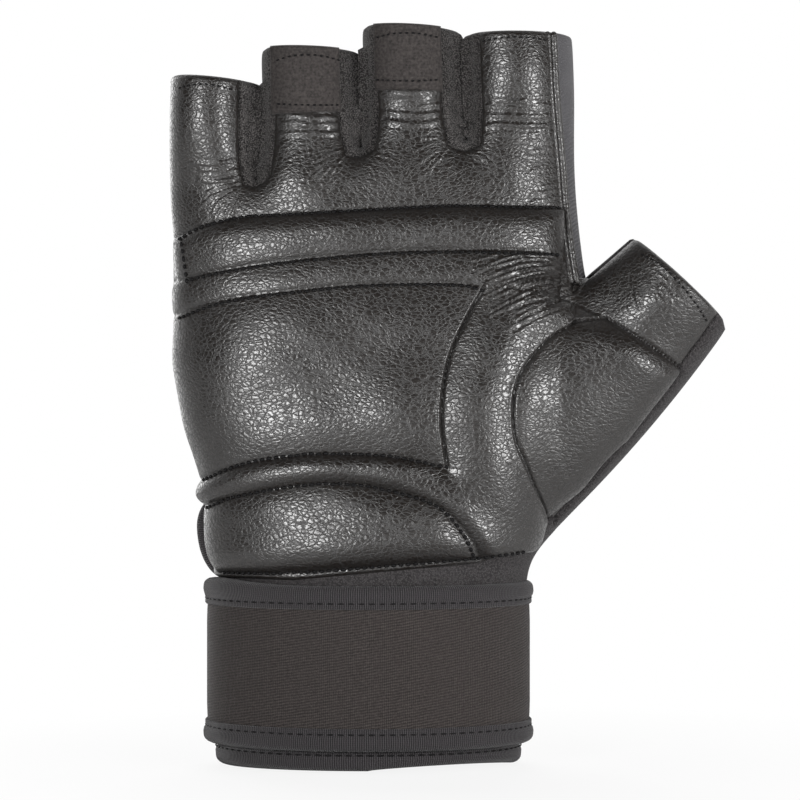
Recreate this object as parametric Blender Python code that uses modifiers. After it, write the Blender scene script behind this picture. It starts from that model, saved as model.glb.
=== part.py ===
"""Half-finger training glove with a wrist wrap, for the right hand.

The glove stands on its cuff with the fingers up. The palm faces -Y and the thumb points to +X.
One smooth form, a coarse cage with Subdivision Surface, gives every sewn panel its shape, and
each panel is a stretch of that form with its own wall thickness. Lengths are in metres.
"""

import math

import bmesh
import bpy
from mathutils import Vector

# Clearances
SEAM_GAP = 0.0004
LAYER_GAP = 0.00035

# Finger stalls, from the little finger to the index finger
FINGER_NAMES = ("little", "ring", "middle", "index")
FINGER_WIDTHS = (0.0210, 0.0228, 0.0254, 0.0222)
FINGER_DEPTH = 0.0222
FINGER_GAP = 0.0026
FINGER_TIPS = (0.1688, 0.1762, 0.1815, 0.1800)
FINGER_LEANS = (0.0006, -0.0006, -0.0010, -0.0012)
TIP_SLOPES = (-0.0010, -0.0004, -0.0006, 0.0000)
CROTCH_HEIGHTS = (0.1400, 0.1430, 0.1515, 0.1530, 0.1490)
FINGER_CENTRE_Y = -0.0010

# Palm, across the four stalls
PALM_CENTRE_X = -0.0172
PALM_FRONT = 0.0150
PALM_BACK = 0.0135
HAND_SQUARENESS = 2.7

# Thumb stall
THUMB_TIP = (0.0586, -0.0060, 0.1188)
THUMB_BULGE = 0.0024
THUMB_WIDTH = 0.0298
THUMB_DEPTH = 0.0260
THUMB_TURN = math.radians(43)
THUMB_FRONT_ANGLES = (44, 68, 90, 112, 134, 157)

# Cuff and the form under it
CUFF_CENTRE = (-0.0185, 0.0)
CUFF_WIDTH = 0.0726
CUFF_DEPTH = 0.0500
CUFF_WALL = 0.0022
CUFF_BOTTOM = 0.0020
CUFF_TOP = 0.0455

# Walls of the sewn panels
LEATHER_WALL = 0.0014
BACK_WALL = 0.0012
FOURCHETTE_WALL = 0.0009
SIDE_WALL = 0.0011
THUMB_BACK_WALL = 0.0016
LINING_WALL = 0.0007
HEM_WALL = 0.0008
HEM_HEIGHT = 0.0050
TAB_WALL = 0.0007
TAB_HEIGHT = 0.0160

# Padding under the leather
PAD_LOFT = 0.0034
FOAM_WALL = 0.0010
FOAM_MARGIN = 0.0040
THUMB_FOAM_MARGIN = 0.0015

# Wrist wrap: layers are measured outwards from the cuff
WRAP_BOTTOM = 0.0056
WRAP_HEIGHT = 0.0397
WRAP_STANDOFF = 0.0018
WRAP_WALL = 0.0016
WRAP_SPIRAL = 0.0014
BINDING_WALL = 0.0006
BINDING_HEIGHT = 0.0056
PATCH_WALL = 0.0009
PATCH_MARGIN = 0.0080
WRAP_START = math.radians(382)
STRAP_HINGE = math.radians(180)
TAB_HINGE = math.radians(96)
TAB_END = math.radians(36)
HINGE_GAP = math.radians(0.5)
LOOP_END = math.radians(132)
HOOK_INSET = math.radians(6)
CUFF_BINDING_HEIGHT = 0.0085
CUFF_BINDING_WALL = 0.0012

# Rolled edge of the back fabric beside the heel of the palm
ROLL_RADIUS = 0.0016
ROLL_BOTTOM = 0.0475
ROLL_TOP = 0.0650

FRONT_COLUMNS = 3 * len(FINGER_NAMES)
FORM_LEVELS = 1
RING_STEPS = 64
RING_POINTS = 2 * FRONT_COLUMNS + 2
# Smoothing draws a ring of this many points in by this share
RING_SHRINK = (2 + math.cos(2 * math.pi / RING_POINTS)) / 3


# Stations of the form from the cuff up to the finger crotches. Each has its height at the left
# edge, in the middle and at the right edge, its left and right edges, its front and back depth,
# and how far its columns have moved from an even ring to the columns of the finger stalls.
def stations():
    half = CUFF_WIDTH / 2 / RING_SHRINK
    deep = CUFF_DEPTH / 2 / RING_SHRINK
    left = CUFF_CENTRE[0] - half
    right = CUFF_CENTRE[0] + half
    palm_half = (sum(FINGER_WIDTHS) + FINGER_GAP * (len(FINGER_WIDTHS) - 1)) / 2
    palm_left = PALM_CENTRE_X - palm_half
    palm_right = PALM_CENTRE_X + palm_half
    front = PALM_FRONT
    back = PALM_BACK
    low = CROTCH_HEIGHTS[0]
    high = CROTCH_HEIGHTS[-1]
    return (
        ("cuff_bottom", (CUFF_BOTTOM,) * 3, left, right, deep, deep, 0.0),
        ("cuff_middle", (0.5 * (CUFF_BOTTOM + CUFF_TOP),) * 3, left, right, deep, deep, 0.0),
        ("cuff_top", (CUFF_TOP, CUFF_TOP, CUFF_TOP + 0.001), left, right, deep, deep, 0.0),
        ("hem", (CUFF_TOP + 0.0018, CUFF_TOP + 0.0025, CUFF_TOP + 0.0091),
         left - 0.0006, right + 0.0032, deep - 0.0006, deep - 0.0006, 0.0),
        ("heel", (0.0640, 0.0690, 0.0630),
         palm_left + 0.0106, right + 0.0070, front + 0.0060, back + 0.0070, 0.25),
        ("lower_palm", (0.0700, 0.0768, 0.0735),
         palm_left + 0.0092, right + 0.0086, front + 0.0062, back + 0.0065, 0.4),
        ("middle_palm", (0.0850, 0.0890, 0.0850),
         palm_left + 0.0046, right + 0.0110, front + 0.0054, back + 0.0052, 0.55),
        ("thumb_palm", (0.0990, 0.1025, 0.1010),
         palm_left + 0.0024, right + 0.0140, front + 0.0044, back + 0.0040, 0.75),
        ("web", (0.1100, 0.1168, 0.1160),
         palm_left + 0.0024, palm_right + 0.0032, front + 0.0032, back + 0.0028, 0.9),
        ("roll_line", (0.1190, 0.1255, 0.1255),
         palm_left + 0.0021, palm_right + 0.0019, front + 0.0020, back + 0.0018, 1.0),
        ("knuckle_line", (0.1300, 0.1355, 0.1368),
         palm_left + 0.0011, palm_right + 0.0007, front + 0.0006, back + 0.0006, 1.0),
        ("crotch", (low, 0.5 * (low + high), high),
         palm_left + 0.0002, palm_right, front - 0.0012, back - 0.0008, 1.0),
    )


ROW_NAMES = tuple(station[0] for station in stations())
HEM_ROW = ROW_NAMES.index("hem")
HEEL_ROW = ROW_NAMES.index("heel")
LOWER_ROW = ROW_NAMES.index("lower_palm")
WEB_ROW = ROW_NAMES.index("web")
ROLL_ROW = ROW_NAMES.index("roll_line")
KNUCKLE_ROW = ROW_NAMES.index("knuckle_line")
CROTCH_ROW = ROW_NAMES.index("crotch")
TAB_ROW = CROTCH_ROW + 1
STALL_HEM_ROW = CROTCH_ROW + 2
TIP_ROW = CROTCH_ROW + 3
THUMB_ROWS = range(HEM_ROW, WEB_ROW + 1)
THUMB_STEPS = (0.28, 0.58)
THUMB_HEM_SHARE = 0.84

# Section of a finger stall: share of the width from the left side, share of the half depth
STALL_SECTION = {
    "left": (-0.037, 0.02),
    "front": ((0.09, -0.92), (0.42, -1.16), (0.75, -0.94)),
    "right": (1.055, 0.05),
    "back": ((0.12, 0.94), (0.50, 1.14), (0.88, 0.94)),
}
# The crotches are narrower at the front than the stalls' own seams
CROTCH_SECTION = ((0.05, 0.0), (0.44, 0.0), (0.82, 0.0))

PANELS = ("palm", "back", "fourchette_0", "fourchette_1", "fourchette_2", "side", "thumb_back", "cuff")


def clear_scene():
    for obj in list(bpy.data.objects):
        bpy.data.objects.remove(obj, do_unlink=True)


def new_collection(name):
    collection = bpy.data.collections.new(name)
    bpy.context.scene.collection.children.link(collection)
    return collection


def finish_material(name, colour, roughness):
    material = bpy.data.materials.new(name)
    material.use_nodes = True
    shader = material.node_tree.nodes["Principled BSDF"]
    shader.inputs["Base Color"].default_value = (*colour, 1.0)
    shader.inputs["Roughness"].default_value = roughness
    shader.inputs["Metallic"].default_value = 0.0
    return material


def through_three(values, share):
    """The parabola through a left, a middle and a right value, at a share of the width."""
    left, middle, right = values
    bend = 2 * left + 2 * right - 4 * middle
    return left + (4 * middle - 3 * left - right) * share + bend * share * share


def stall_left_edges():
    edges = []
    x = PALM_CENTRE_X - (sum(FINGER_WIDTHS) + FINGER_GAP * (len(FINGER_WIDTHS) - 1)) / 2
    for width in FINGER_WIDTHS:
        edges.append(x)
        x += width + FINGER_GAP
    return edges


def stall_columns():
    """Where the twelve front columns lie at the crotches, as x in metres."""
    columns = []
    for left, width in zip(stall_left_edges(), FINGER_WIDTHS):
        columns.extend(left + width * share for share, _ in CROTCH_SECTION)
    return columns


def thenar_mound(x, z):
    """How far the ball of the thumb stands out of the palm."""
    across = (x - (CUFF_CENTRE[0] + CUFF_WIDTH * 0.52)) / 0.018
    along = (z - 0.084) / 0.024
    return 0.0050 * math.exp(-across * across - along * along)


def palm_point(station, column, front):
    """A cage point of the hand: column 0 is the left edge and the last one the right edge."""
    _, heights, left, right, front_depth, back_depth, spread = station
    centre = (left + right) / 2
    half = (right - left) / 2
    angle = math.pi * column / (FRONT_COLUMNS + 1)
    x = centre - half * math.cos(angle)
    if 0 < column <= FRONT_COLUMNS:
        stalls = stall_columns()
        first = stall_left_edges()[0]
        full = 2 * (PALM_CENTRE_X - first)
        x_stall = left + (stalls[column - 1] - first) / full * (right - left)
        x += (x_stall - x) * spread
    squareness = 2 + (HAND_SQUARENESS - 2) * min(1.0, 2 * spread)
    share = min(1.0, abs(x - centre) / half)
    rise = (1 - share**squareness) ** (1 / squareness)
    z = through_three(heights, (x - left) / (right - left))
    if front:
        y = CUFF_CENTRE[1] - front_depth * rise - (thenar_mound(x, z) if spread else 0.0)
    else:
        y = CUFF_CENTRE[1] + back_depth * rise
    return Vector((x, y, z))


def crotch_height(column):
    """Height of the crotch row at a front column, between the crotch on its left and its right."""
    finger = min((column - 1) // 3, len(FINGER_NAMES) - 1)
    share = CROTCH_SECTION[(column - 1) % 3][0]
    return CROTCH_HEIGHTS[finger] + (CROTCH_HEIGHTS[finger + 1] - CROTCH_HEIGHTS[finger]) * share


def stall_height(finger, row, share):
    tip = FINGER_TIPS[finger] + TIP_SLOPES[finger] * (2 * share - 1)
    below = {TAB_ROW: TAB_HEIGHT, STALL_HEM_ROW: HEM_HEIGHT, TIP_ROW: 0.0}[row]
    return tip - below


def stall_point(finger, row, section_point):
    share, depth = section_point
    width = FINGER_WIDTHS[finger]
    z = stall_height(finger, row, share)
    base = 0.5 * (CROTCH_HEIGHTS[finger] + CROTCH_HEIGHTS[finger + 1])
    lean = FINGER_LEANS[finger] * (z - base) / (FINGER_TIPS[finger] - base)
    x = stall_left_edges()[finger] + width * share + lean
    return Vector((x, FINGER_CENTRE_Y + depth * FINGER_DEPTH / 2, z))


def thumb_tip_ring():
    """Fourteen points round the thumb's opening: outer side, front, inner side, back."""
    outwards = Vector((math.cos(THUMB_TURN), 0.0, -math.sin(THUMB_TURN)))
    forwards = Vector((0.0, -1.0, 0.0))
    angles = [0, *THUMB_FRONT_ANGLES, 180, *(360 - angle for angle in reversed(THUMB_FRONT_ANGLES))]
    ring = []
    for angle in map(math.radians, angles):
        across = outwards * math.cos(angle) * THUMB_WIDTH / 2
        ring.append(Vector(THUMB_TIP) + across + forwards * math.sin(angle) * THUMB_DEPTH / 2)
    return ring


class Cage:
    """The coarse quads of the form. A face knows its panel, and a point its row, column and thumb share."""

    def __init__(self):
        self.mesh = bmesh.new()
        self.row = self.mesh.verts.layers.float.new("row")
        self.column = self.mesh.verts.layers.float.new("column")
        self.thumb = self.mesh.verts.layers.float.new("thumb")
        self.panel = self.mesh.faces.layers.int.new("panel")

    def point(self, place, row, column, thumb=0.0):
        vert = self.mesh.verts.new(place)
        vert[self.row] = row
        vert[self.column] = column
        vert[self.thumb] = thumb
        return vert

    def quad(self, panel, *corners):
        face = self.mesh.faces.new(corners)
        face[self.panel] = PANELS.index(panel)
        face.smooth = True


def palm_rings(cage):
    """The rings from the cuff to the crotches. Each maps a column name to its point."""
    rings = []
    for row, station in enumerate(stations()):
        ring = {}
        for column in range(FRONT_COLUMNS + 2):
            edge = column in (0, FRONT_COLUMNS + 1)
            in_thumb = column == FRONT_COLUMNS + 1 and HEM_ROW < row < WEB_ROW
            if in_thumb:
                continue
            for front in (True,) if edge else (True, False):
                place = palm_point(station, column, front)
                if row == CROTCH_ROW and not edge:
                    place.z = crotch_height(column)
                elif row == CROTCH_ROW:
                    place.z = CROTCH_HEIGHTS[0] if column == 0 else CROTCH_HEIGHTS[-1]
                ring[column, front or edge] = cage.point(place, row, column)
                if edge:
                    ring[column, False] = ring[column, True]
        rings.append(ring)
    return rings


def sew_palm(cage, rings):
    last = FRONT_COLUMNS + 1
    for row in range(len(rings) - 1):
        low, high = rings[row], rings[row + 1]
        for column in range(last):
            for front in (True, False):
                thumb_hole = column == last - 1 and HEM_ROW <= row < WEB_ROW
                if thumb_hole:
                    continue
                if row < HEM_ROW:
                    panel = "cuff"
                elif column == last - 1:
                    panel = "side"
                else:
                    panel = "palm" if front else "back"
                near, far = (column, front), (column + 1, front)
                corners = (low[near], low[far], high[far], high[near])
                cage.quad(panel, *(corners if front else reversed(corners)))


def sew_stalls(cage, crotch):
    """The four finger stalls, each a ring of eight points, and the floors of the three crotches."""
    last_finger = len(FINGER_NAMES) - 1
    floors = {}
    for finger in range(len(FINGER_NAMES)):
        first = 3 * finger + 1
        for side in ("left", "right"):
            outer = finger == 0 if side == "left" else finger == last_finger
            if outer:
                column = 0 if side == "left" else FRONT_COLUMNS + 1
                floors[finger, side] = crotch[column, True]
                continue
            height = CROTCH_HEIGHTS[finger if side == "left" else finger + 1]
            share, depth = STALL_SECTION[side]
            x = stall_left_edges()[finger] + FINGER_WIDTHS[finger] * share
            place = Vector((x, FINGER_CENTRE_Y + depth * FINGER_DEPTH / 2, height - 0.001))
            floors[finger, side] = cage.point(place, CROTCH_ROW, first)
        below = {"left": floors[finger, "left"], "right": floors[finger, "right"]}
        below.update({("front", n): crotch[first + n, True] for n in range(3)})
        below.update({("back", n): crotch[first + n, False] for n in range(3)})
        for row in (TAB_ROW, STALL_HEM_ROW, TIP_ROW):
            above = {}
            for side in ("left", "right"):
                above[side] = cage.point(stall_point(finger, row, STALL_SECTION[side]), row, first)
            for face in ("front", "back"):
                for n, section_point in enumerate(STALL_SECTION[face]):
                    above[face, n] = cage.point(stall_point(finger, row, section_point), row, first + n)
            sew_stall_row(cage, finger, below, above)
            below = above
    for finger in range(last_finger):
        right, left = floors[finger, "right"], floors[finger + 1, "left"]
        here, there = 3 * finger + 3, 3 * finger + 4
        panel = f"fourchette_{finger}"
        cage.quad(panel, crotch[here, True], crotch[there, True], left, right)
        cage.quad(panel, right, left, crotch[there, False], crotch[here, False])


def sew_stall_row(cage, finger, low, high):
    last_finger = len(FINGER_NAMES) - 1
    left_front = "palm" if finger == 0 else f"fourchette_{finger - 1}"
    left_back = "back" if finger == 0 else f"fourchette_{finger - 1}"
    right = "side" if finger == last_finger else f"fourchette_{finger}"
    ring = [
        (left_front, "left", ("front", 0)),
        ("palm", ("front", 0), ("front", 1)),
        ("palm", ("front", 1), ("front", 2)),
        (right, ("front", 2), "right"),
        (right, "right", ("back", 2)),
        ("back", ("back", 2), ("back", 1)),
        ("back", ("back", 1), ("back", 0)),
        (left_back, ("back", 0), "left"),
    ]
    for panel, near, far in ring:
        cage.quad(panel, low[near], low[far], high[far], high[near])


def sew_thumb(cage, rings):
    """The thumb stall, drawn from the right side of the palm to the ring of its opening."""
    last = FRONT_COLUMNS + 1
    base = [rings[HEM_ROW][last, True]]
    base += [rings[row][last - 1, True] for row in THUMB_ROWS]
    base += [rings[WEB_ROW][last, True]]
    base += [rings[row][last - 1, False] for row in reversed(THUMB_ROWS)]
    tip = thumb_tip_ring()
    outwards = Vector((math.cos(THUMB_TURN), 0.0, -math.sin(THUMB_TURN)))
    below = base
    for share in (*THUMB_STEPS, THUMB_HEM_SHARE, 1.0):
        above = []
        for vert, end in zip(base, tip):
            outer = max(0.0, (end - Vector(THUMB_TIP)).dot(outwards) / (THUMB_WIDTH / 2))
            place = vert.co.lerp(end, share) + outwards * THUMB_BULGE * outer * 4 * share * (1 - share)
            above.append(cage.point(place, vert[cage.row], vert[cage.column], share))
        for index in range(len(base)):
            following = (index + 1) % len(base)
            leather = 1 <= index <= len(THUMB_FRONT_ANGLES)
            corners = (below[index], above[index], above[following], below[following])
            cage.quad("palm" if leather else "thumb_back", *corners)
        below = above


def smooth_form():
    """The form as a smooth mesh whose faces know their panel and whose points know their row."""
    cage = Cage()
    rings = palm_rings(cage)
    sew_palm(cage, rings)
    sew_stalls(cage, rings[CROTCH_ROW])
    sew_thumb(cage, rings)
    bmesh.ops.recalc_face_normals(cage.mesh, faces=cage.mesh.faces)
    data = bpy.data.meshes.new("form")
    cage.mesh.to_mesh(data)
    cage.mesh.free()
    holder = bpy.data.objects.new("form", data)
    bpy.context.scene.collection.objects.link(holder)
    smoothing = holder.modifiers.new("smooth", "SUBSURF")
    smoothing.levels = smoothing.render_levels = FORM_LEVELS
    graph = bpy.context.evaluated_depsgraph_get()
    form = bpy.data.meshes.new_from_object(holder.evaluated_get(graph))
    bpy.data.objects.remove(holder)
    outwards = form.attributes.new("outwards", "FLOAT_VECTOR", "POINT")
    for vert in form.vertices:
        outwards.data[vert.index].vector = vert.normal
    return form


def finished_piece(name, mesh, material, collection):
    """An object from a closed bmesh, with its faces turned outwards."""
    bmesh.ops.recalc_face_normals(mesh, faces=mesh.faces)
    if mesh.calc_volume(signed=True) < 0:
        bmesh.ops.reverse_faces(mesh, faces=mesh.faces)
    data = bpy.data.meshes.new(name)
    mesh.to_mesh(data)
    mesh.free()
    data.materials.append(material)
    data.shade_smooth()
    data.set_sharp_from_angle(angle=math.radians(45))
    obj = bpy.data.objects.new(name, data)
    collection.objects.link(obj)
    return obj


class Stretch:
    """The faces of one stretch of the form, which becomes one piece."""

    def __init__(self, form, keep):
        self.mesh = bmesh.new()
        self.mesh.from_mesh(form)
        self.layers = [self.mesh.verts.layers.float[name] for name in ("row", "column", "thumb")]
        self.outwards = self.mesh.verts.layers.float_vector["outwards"]
        panel = self.mesh.faces.layers.int["panel"]
        gone = []
        for face in self.mesh.faces:
            places = [sum(vert[layer] for vert in face.verts) / len(face.verts) for layer in self.layers]
            if not keep(PANELS[face[panel]], *places):
                gone.append(face)
        bmesh.ops.delete(self.mesh, geom=gone, context="FACES")

    def trim(self, margin):
        """Draws the edges of the stretch in by a margin."""
        rim = bmesh.ops.inset_region(
            self.mesh,
            faces=list(self.mesh.faces),
            thickness=margin,
            use_boundary=True,
            use_even_offset=True,
        )
        bmesh.ops.delete(self.mesh, geom=rim["faces"], context="FACES")

    def lift(self, height):
        """Moves the stretch outwards by a length, or by a function of row, column and thumb share."""
        for vert in self.mesh.verts:
            rise = height(*(vert[layer] for layer in self.layers)) if callable(height) else height
            vert.co += vert[self.outwards] * rise

    def piece(self, name, wall, material, collection):
        """The stretch as a closed wall, built outwards from where it lies."""
        grown = bmesh.ops.extrude_face_region(self.mesh, geom=list(self.mesh.faces), use_keep_orig=True)
        for vert in grown["geom"]:
            if isinstance(vert, bmesh.types.BMVert):
                vert.co += vert[self.outwards] * wall
        return finished_piece(name, self.mesh, material, collection)


PAD_FIELDS = {
    "knuckle_pad": (ROLL_ROW, KNUCKLE_ROW, 1, FRONT_COLUMNS),
    "roll_pad": (WEB_ROW, ROLL_ROW, 1, FRONT_COLUMNS - 1),
    "palm_pad": (LOWER_ROW, WEB_ROW, 1, 9),
    "heel_pad": (HEM_ROW, HEEL_ROW, 1, 9),
}
THUMB_PAD_ENDS = (0.0, 0.8)


def rise_from(value, low, high, ramp):
    """Nothing outside two sewn lines, and one from a ramp's length inside them."""
    return max(0.0, min(1.0, (value - low) / ramp, (high - value) / ramp))


def pad_swell(row, column, thumb):
    """How far the padding lifts the leather."""
    swell = rise_from(thumb, *THUMB_PAD_ENDS, 0.25) * rise_from(row, HEM_ROW, WEB_ROW, 1.0)
    for low, high, left, right in PAD_FIELDS.values():
        swell = max(swell, rise_from(row, low, high, 0.5) * rise_from(column, left - 0.5, right + 0.5, 1.0))
    return PAD_LOFT * swell


def make_panels(form, finishes, collection):
    def sew(name, wall, finish, keep, swell=None):
        stretch = Stretch(form, keep)
        stretch.trim(SEAM_GAP / 2)
        if swell:
            stretch.lift(swell)
        stretch.piece(name, wall, finishes[finish], collection)

    sew("palm_leather", LEATHER_WALL, "leather", lambda panel, *_: panel == "palm", pad_swell)
    sew("back_panel", BACK_WALL, "stretch", lambda panel, *_: panel == "back")
    sew("index_side_panel", SIDE_WALL, "rib", lambda panel, *_: panel == "side")
    sew("thumb_back_panel", THUMB_BACK_WALL, "stretch", lambda panel, *_: panel == "thumb_back")
    for number in range(len(FINGER_NAMES) - 1):
        name = f"fourchette_{FINGER_NAMES[number]}_{FINGER_NAMES[number + 1]}"
        sew(name, FOURCHETTE_WALL, "mesh", lambda panel, *_: panel == f"fourchette_{number}")


def make_linings(form, finishes, collection):
    """The palm lining and the padding that lies between it and the leather."""

    def in_palm(panel, row, column, thumb):
        across = 0.6 < column < FRONT_COLUMNS - 0.4
        return panel == "palm" and thumb == 0 and HEM_ROW + 0.6 < row < KNUCKLE_ROW and across

    lining = Stretch(form, in_palm)
    lining.trim(SEAM_GAP)
    lining.lift(-LAYER_GAP - LINING_WALL)
    lining.piece("palm_lining", LINING_WALL, finishes["lining"], collection)

    def fill(name, keep, margin):
        foam = Stretch(form, keep)
        foam.trim(margin)
        foam.lift(LAYER_GAP)
        foam.piece(name, FOAM_WALL, finishes["foam"], collection)

    for name, (low, high, left, right) in PAD_FIELDS.items():

        def in_pad(panel, row, column, thumb):
            return panel == "palm" and thumb == 0 and low < row < high and left < column < right

        fill(name, in_pad, FOAM_MARGIN)

    def in_thumb_pad(panel, row, column, thumb):
        along = THUMB_STEPS[0] / 2 < thumb < 0.9 * THUMB_PAD_ENDS[1]
        return panel == "palm" and along and HEM_ROW + 1 < row < WEB_ROW - 1

    fill("thumb_pad", in_thumb_pad, THUMB_FOAM_MARGIN)


def make_stall_trim(form, finishes, collection):
    """The hem tapes inside the five openings, and the pull tabs on the two middle fingers."""

    def hem(name, keep):
        tape = Stretch(form, keep)
        tape.trim(SEAM_GAP)
        tape.lift(-LAYER_GAP - HEM_WALL)
        tape.piece(name, HEM_WALL, finishes["tape"], collection)

    for finger, name in enumerate(FINGER_NAMES):
        left, right = 3 * finger + 1, 3 * finger + 3

        def in_hem(panel, row, column, thumb):
            return row > STALL_HEM_ROW and left <= column <= right

        hem(f"{name}_hem_tape", in_hem)
    hem("thumb_hem_tape", lambda panel, row, column, thumb: thumb > THUMB_HEM_SHARE)

    for finger in (1, 2):
        left, right = 3 * finger + 1, 3 * finger + 3

        def in_tab(panel, row, column, thumb):
            return panel == "palm" and row > TAB_ROW and left <= column <= right

        tab = Stretch(form, in_tab)
        tab.trim(SEAM_GAP)
        tab.lift(LEATHER_WALL + LAYER_GAP)
        tab.piece(f"{FINGER_NAMES[finger]}_pull_tab", TAB_WALL, finishes["tab"], collection)


def make_cuff(form, finishes, collection):
    cuff = Stretch(form, lambda panel, row, column, thumb: row < HEM_ROW + 0.4 and thumb < 0.1)
    cuff.trim(SEAM_GAP)
    cuff.lift(-LAYER_GAP - CUFF_WALL)
    cuff.piece("cuff", CUFF_WALL, finishes["stretch"], collection)


def make_side_roll(finishes, collection):
    """The rolled edge of the back fabric that shows beside the heel of the palm."""
    rows = stations()
    out = 0.7 * LEATHER_WALL + LAYER_GAP + ROLL_RADIUS
    curve = bpy.data.curves.new("side_roll", "CURVE")
    curve.dimensions = "3D"
    curve.bevel_depth = ROLL_RADIUS
    curve.bevel_resolution = 2
    curve.resolution_u = 6
    curve.use_fill_caps = True
    line = curve.splines.new("BEZIER")
    line.bezier_points.add(1)
    for point, row, z in zip(line.bezier_points, (HEM_ROW, HEEL_ROW), (ROLL_BOTTOM, ROLL_TOP)):
        edge = palm_point(rows[row], 0, True)
        point.co = (edge.x - out, edge.y + ROLL_RADIUS, z)
        point.handle_left_type = point.handle_right_type = "AUTO"
    curve.materials.append(finishes["stretch"])
    collection.objects.link(bpy.data.objects.new("side_roll", curve))


def wrap_layer(angle):
    """How far the inside of the wrap stands off the cuff: it climbs over the patches at the back."""
    turned = min(1.0, max(0.0, (STRAP_HINGE - angle) / (STRAP_HINGE - TAB_HINGE)))
    return WRAP_STANDOFF + WRAP_SPIRAL * turned * turned * (3 - 2 * turned)


def ring_place(angle, offset, z):
    x = CUFF_CENTRE[0] + (CUFF_WIDTH / 2 + offset) * math.cos(angle)
    y = CUFF_CENTRE[1] + (CUFF_DEPTH / 2 + offset) * math.sin(angle)
    return Vector((x, y, z))


def swept_piece(name, sections, closed, material, collection):
    """A solid through a row of like sections. Each section is a loop of points."""
    mesh = bmesh.new()
    loops = [[mesh.verts.new(place) for place in section] for section in sections]
    count = len(loops[0])
    spans = len(loops) if closed else len(loops) - 1
    for index in range(spans):
        here, there = loops[index], loops[(index + 1) % len(loops)]
        for corner in range(count):
            following = (corner + 1) % count
            mesh.faces.new((here[corner], here[following], there[following], there[corner]))
    if not closed:
        mesh.faces.new(reversed(loops[0]))
        mesh.faces.new(loops[-1])
    return finished_piece(name, mesh, material, collection)


def angles_between(start, end):
    steps = max(2, round(RING_STEPS * abs(end - start) / (2 * math.pi)))
    return [start + (end - start) * step / steps for step in range(steps + 1)]


def band_section(angle, low, high, layer, wall):
    corners = ((layer, low), (layer + wall, low), (layer + wall, high), (layer, high))
    return [ring_place(angle, offset, z) for offset, z in corners]


def binding_section(angle, edge, inwards, layer, wall):
    """A folded tape over an edge of the band. inwards is +1 for the lower edge and -1 for the upper one."""
    fold = inwards * (LAYER_GAP + BINDING_WALL)
    inner = layer - LAYER_GAP
    outer = layer + wall + LAYER_GAP
    tail = edge + inwards * BINDING_HEIGHT
    corners = (
        (inner - BINDING_WALL, tail),
        (inner - BINDING_WALL, edge + 0.4 * fold),
        (inner, edge),
        (outer, edge),
        (outer + BINDING_WALL, edge + 0.4 * fold),
        (outer + BINDING_WALL, tail),
        (outer, tail),
        (outer, edge + fold),
        (inner, edge + fold),
        (inner, tail),
    )
    return [ring_place(angle, offset, z) for offset, z in corners]


def make_wrap_stretch(prefix, start, end, finishes, collection):
    """One stretch of the wrap: its elastic band and the folded tapes on its two edges."""
    edge = LAYER_GAP + BINDING_WALL + LAYER_GAP
    low, high = WRAP_BOTTOM + edge, WRAP_BOTTOM + WRAP_HEIGHT - edge
    angles = angles_between(start, end)
    band = [band_section(a, low, high, wrap_layer(a), WRAP_WALL) for a in angles]
    pieces = [swept_piece(f"{prefix}_band", band, False, finishes["elastic"], collection)]
    for name, z, inwards in (("bottom", WRAP_BOTTOM, 1), ("top", WRAP_BOTTOM + WRAP_HEIGHT, -1)):
        tape = [binding_section(a, z, inwards, wrap_layer(a), WRAP_WALL) for a in angles]
        pieces.append(swept_piece(f"{prefix}_{name}_binding", tape, False, finishes["binding"], collection))
    return pieces


def make_patch(name, start, end, layer, finishes, collection):
    low = WRAP_BOTTOM + PATCH_MARGIN
    high = WRAP_BOTTOM + WRAP_HEIGHT - PATCH_MARGIN
    sections = [band_section(a, low, high, layer, PATCH_WALL) for a in angles_between(start, end)]
    return swept_piece(name, sections, False, finishes[name], collection)


def hang_on_pivot(name, angle, parent, pieces, collection):
    """Parents pieces to an empty on the upright line that they turn about, on the outside of the wrap."""
    outside = wrap_layer(angle) + WRAP_WALL + LAYER_GAP + BINDING_WALL
    pivot = bpy.data.objects.new(name, None)
    pivot.empty_display_size = WRAP_HEIGHT / 4
    pivot.location = ring_place(angle, outside, WRAP_BOTTOM + WRAP_HEIGHT / 2)
    collection.objects.link(pivot)
    hung = list(pieces)
    if parent:
        pivot.parent = parent
        pivot.location -= parent.location
    bpy.context.view_layer.update()
    for obj in hung:
        obj.parent = pivot
        obj.matrix_parent_inverse = pivot.matrix_world.inverted()
    return pivot


def make_wrap(finishes, collection):
    make_wrap_stretch("wrap_front", STRAP_HINGE + HINGE_GAP, WRAP_START, finishes, collection)
    back_ends = (TAB_HINGE + HINGE_GAP, STRAP_HINGE - HINGE_GAP)
    back = make_wrap_stretch("strap_back", *back_ends, finishes, collection)
    tab = make_wrap_stretch("strap_tab", TAB_END, TAB_HINGE - HINGE_GAP, finishes, collection)
    make_patch("loop_patch", TAB_END, LOOP_END, LAYER_GAP, finishes, collection)
    hook_layer = wrap_layer(TAB_END) - LAYER_GAP - PATCH_WALL
    hook_ends = (TAB_END + HOOK_INSET, TAB_HINGE - HOOK_INSET)
    tab.append(make_patch("hook_patch", *hook_ends, hook_layer, finishes, collection))
    strap_pivot = hang_on_pivot("strap_pivot", STRAP_HINGE, None, back, collection)
    hang_on_pivot("tab_pivot", TAB_HINGE, strap_pivot, tab, collection)


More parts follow.
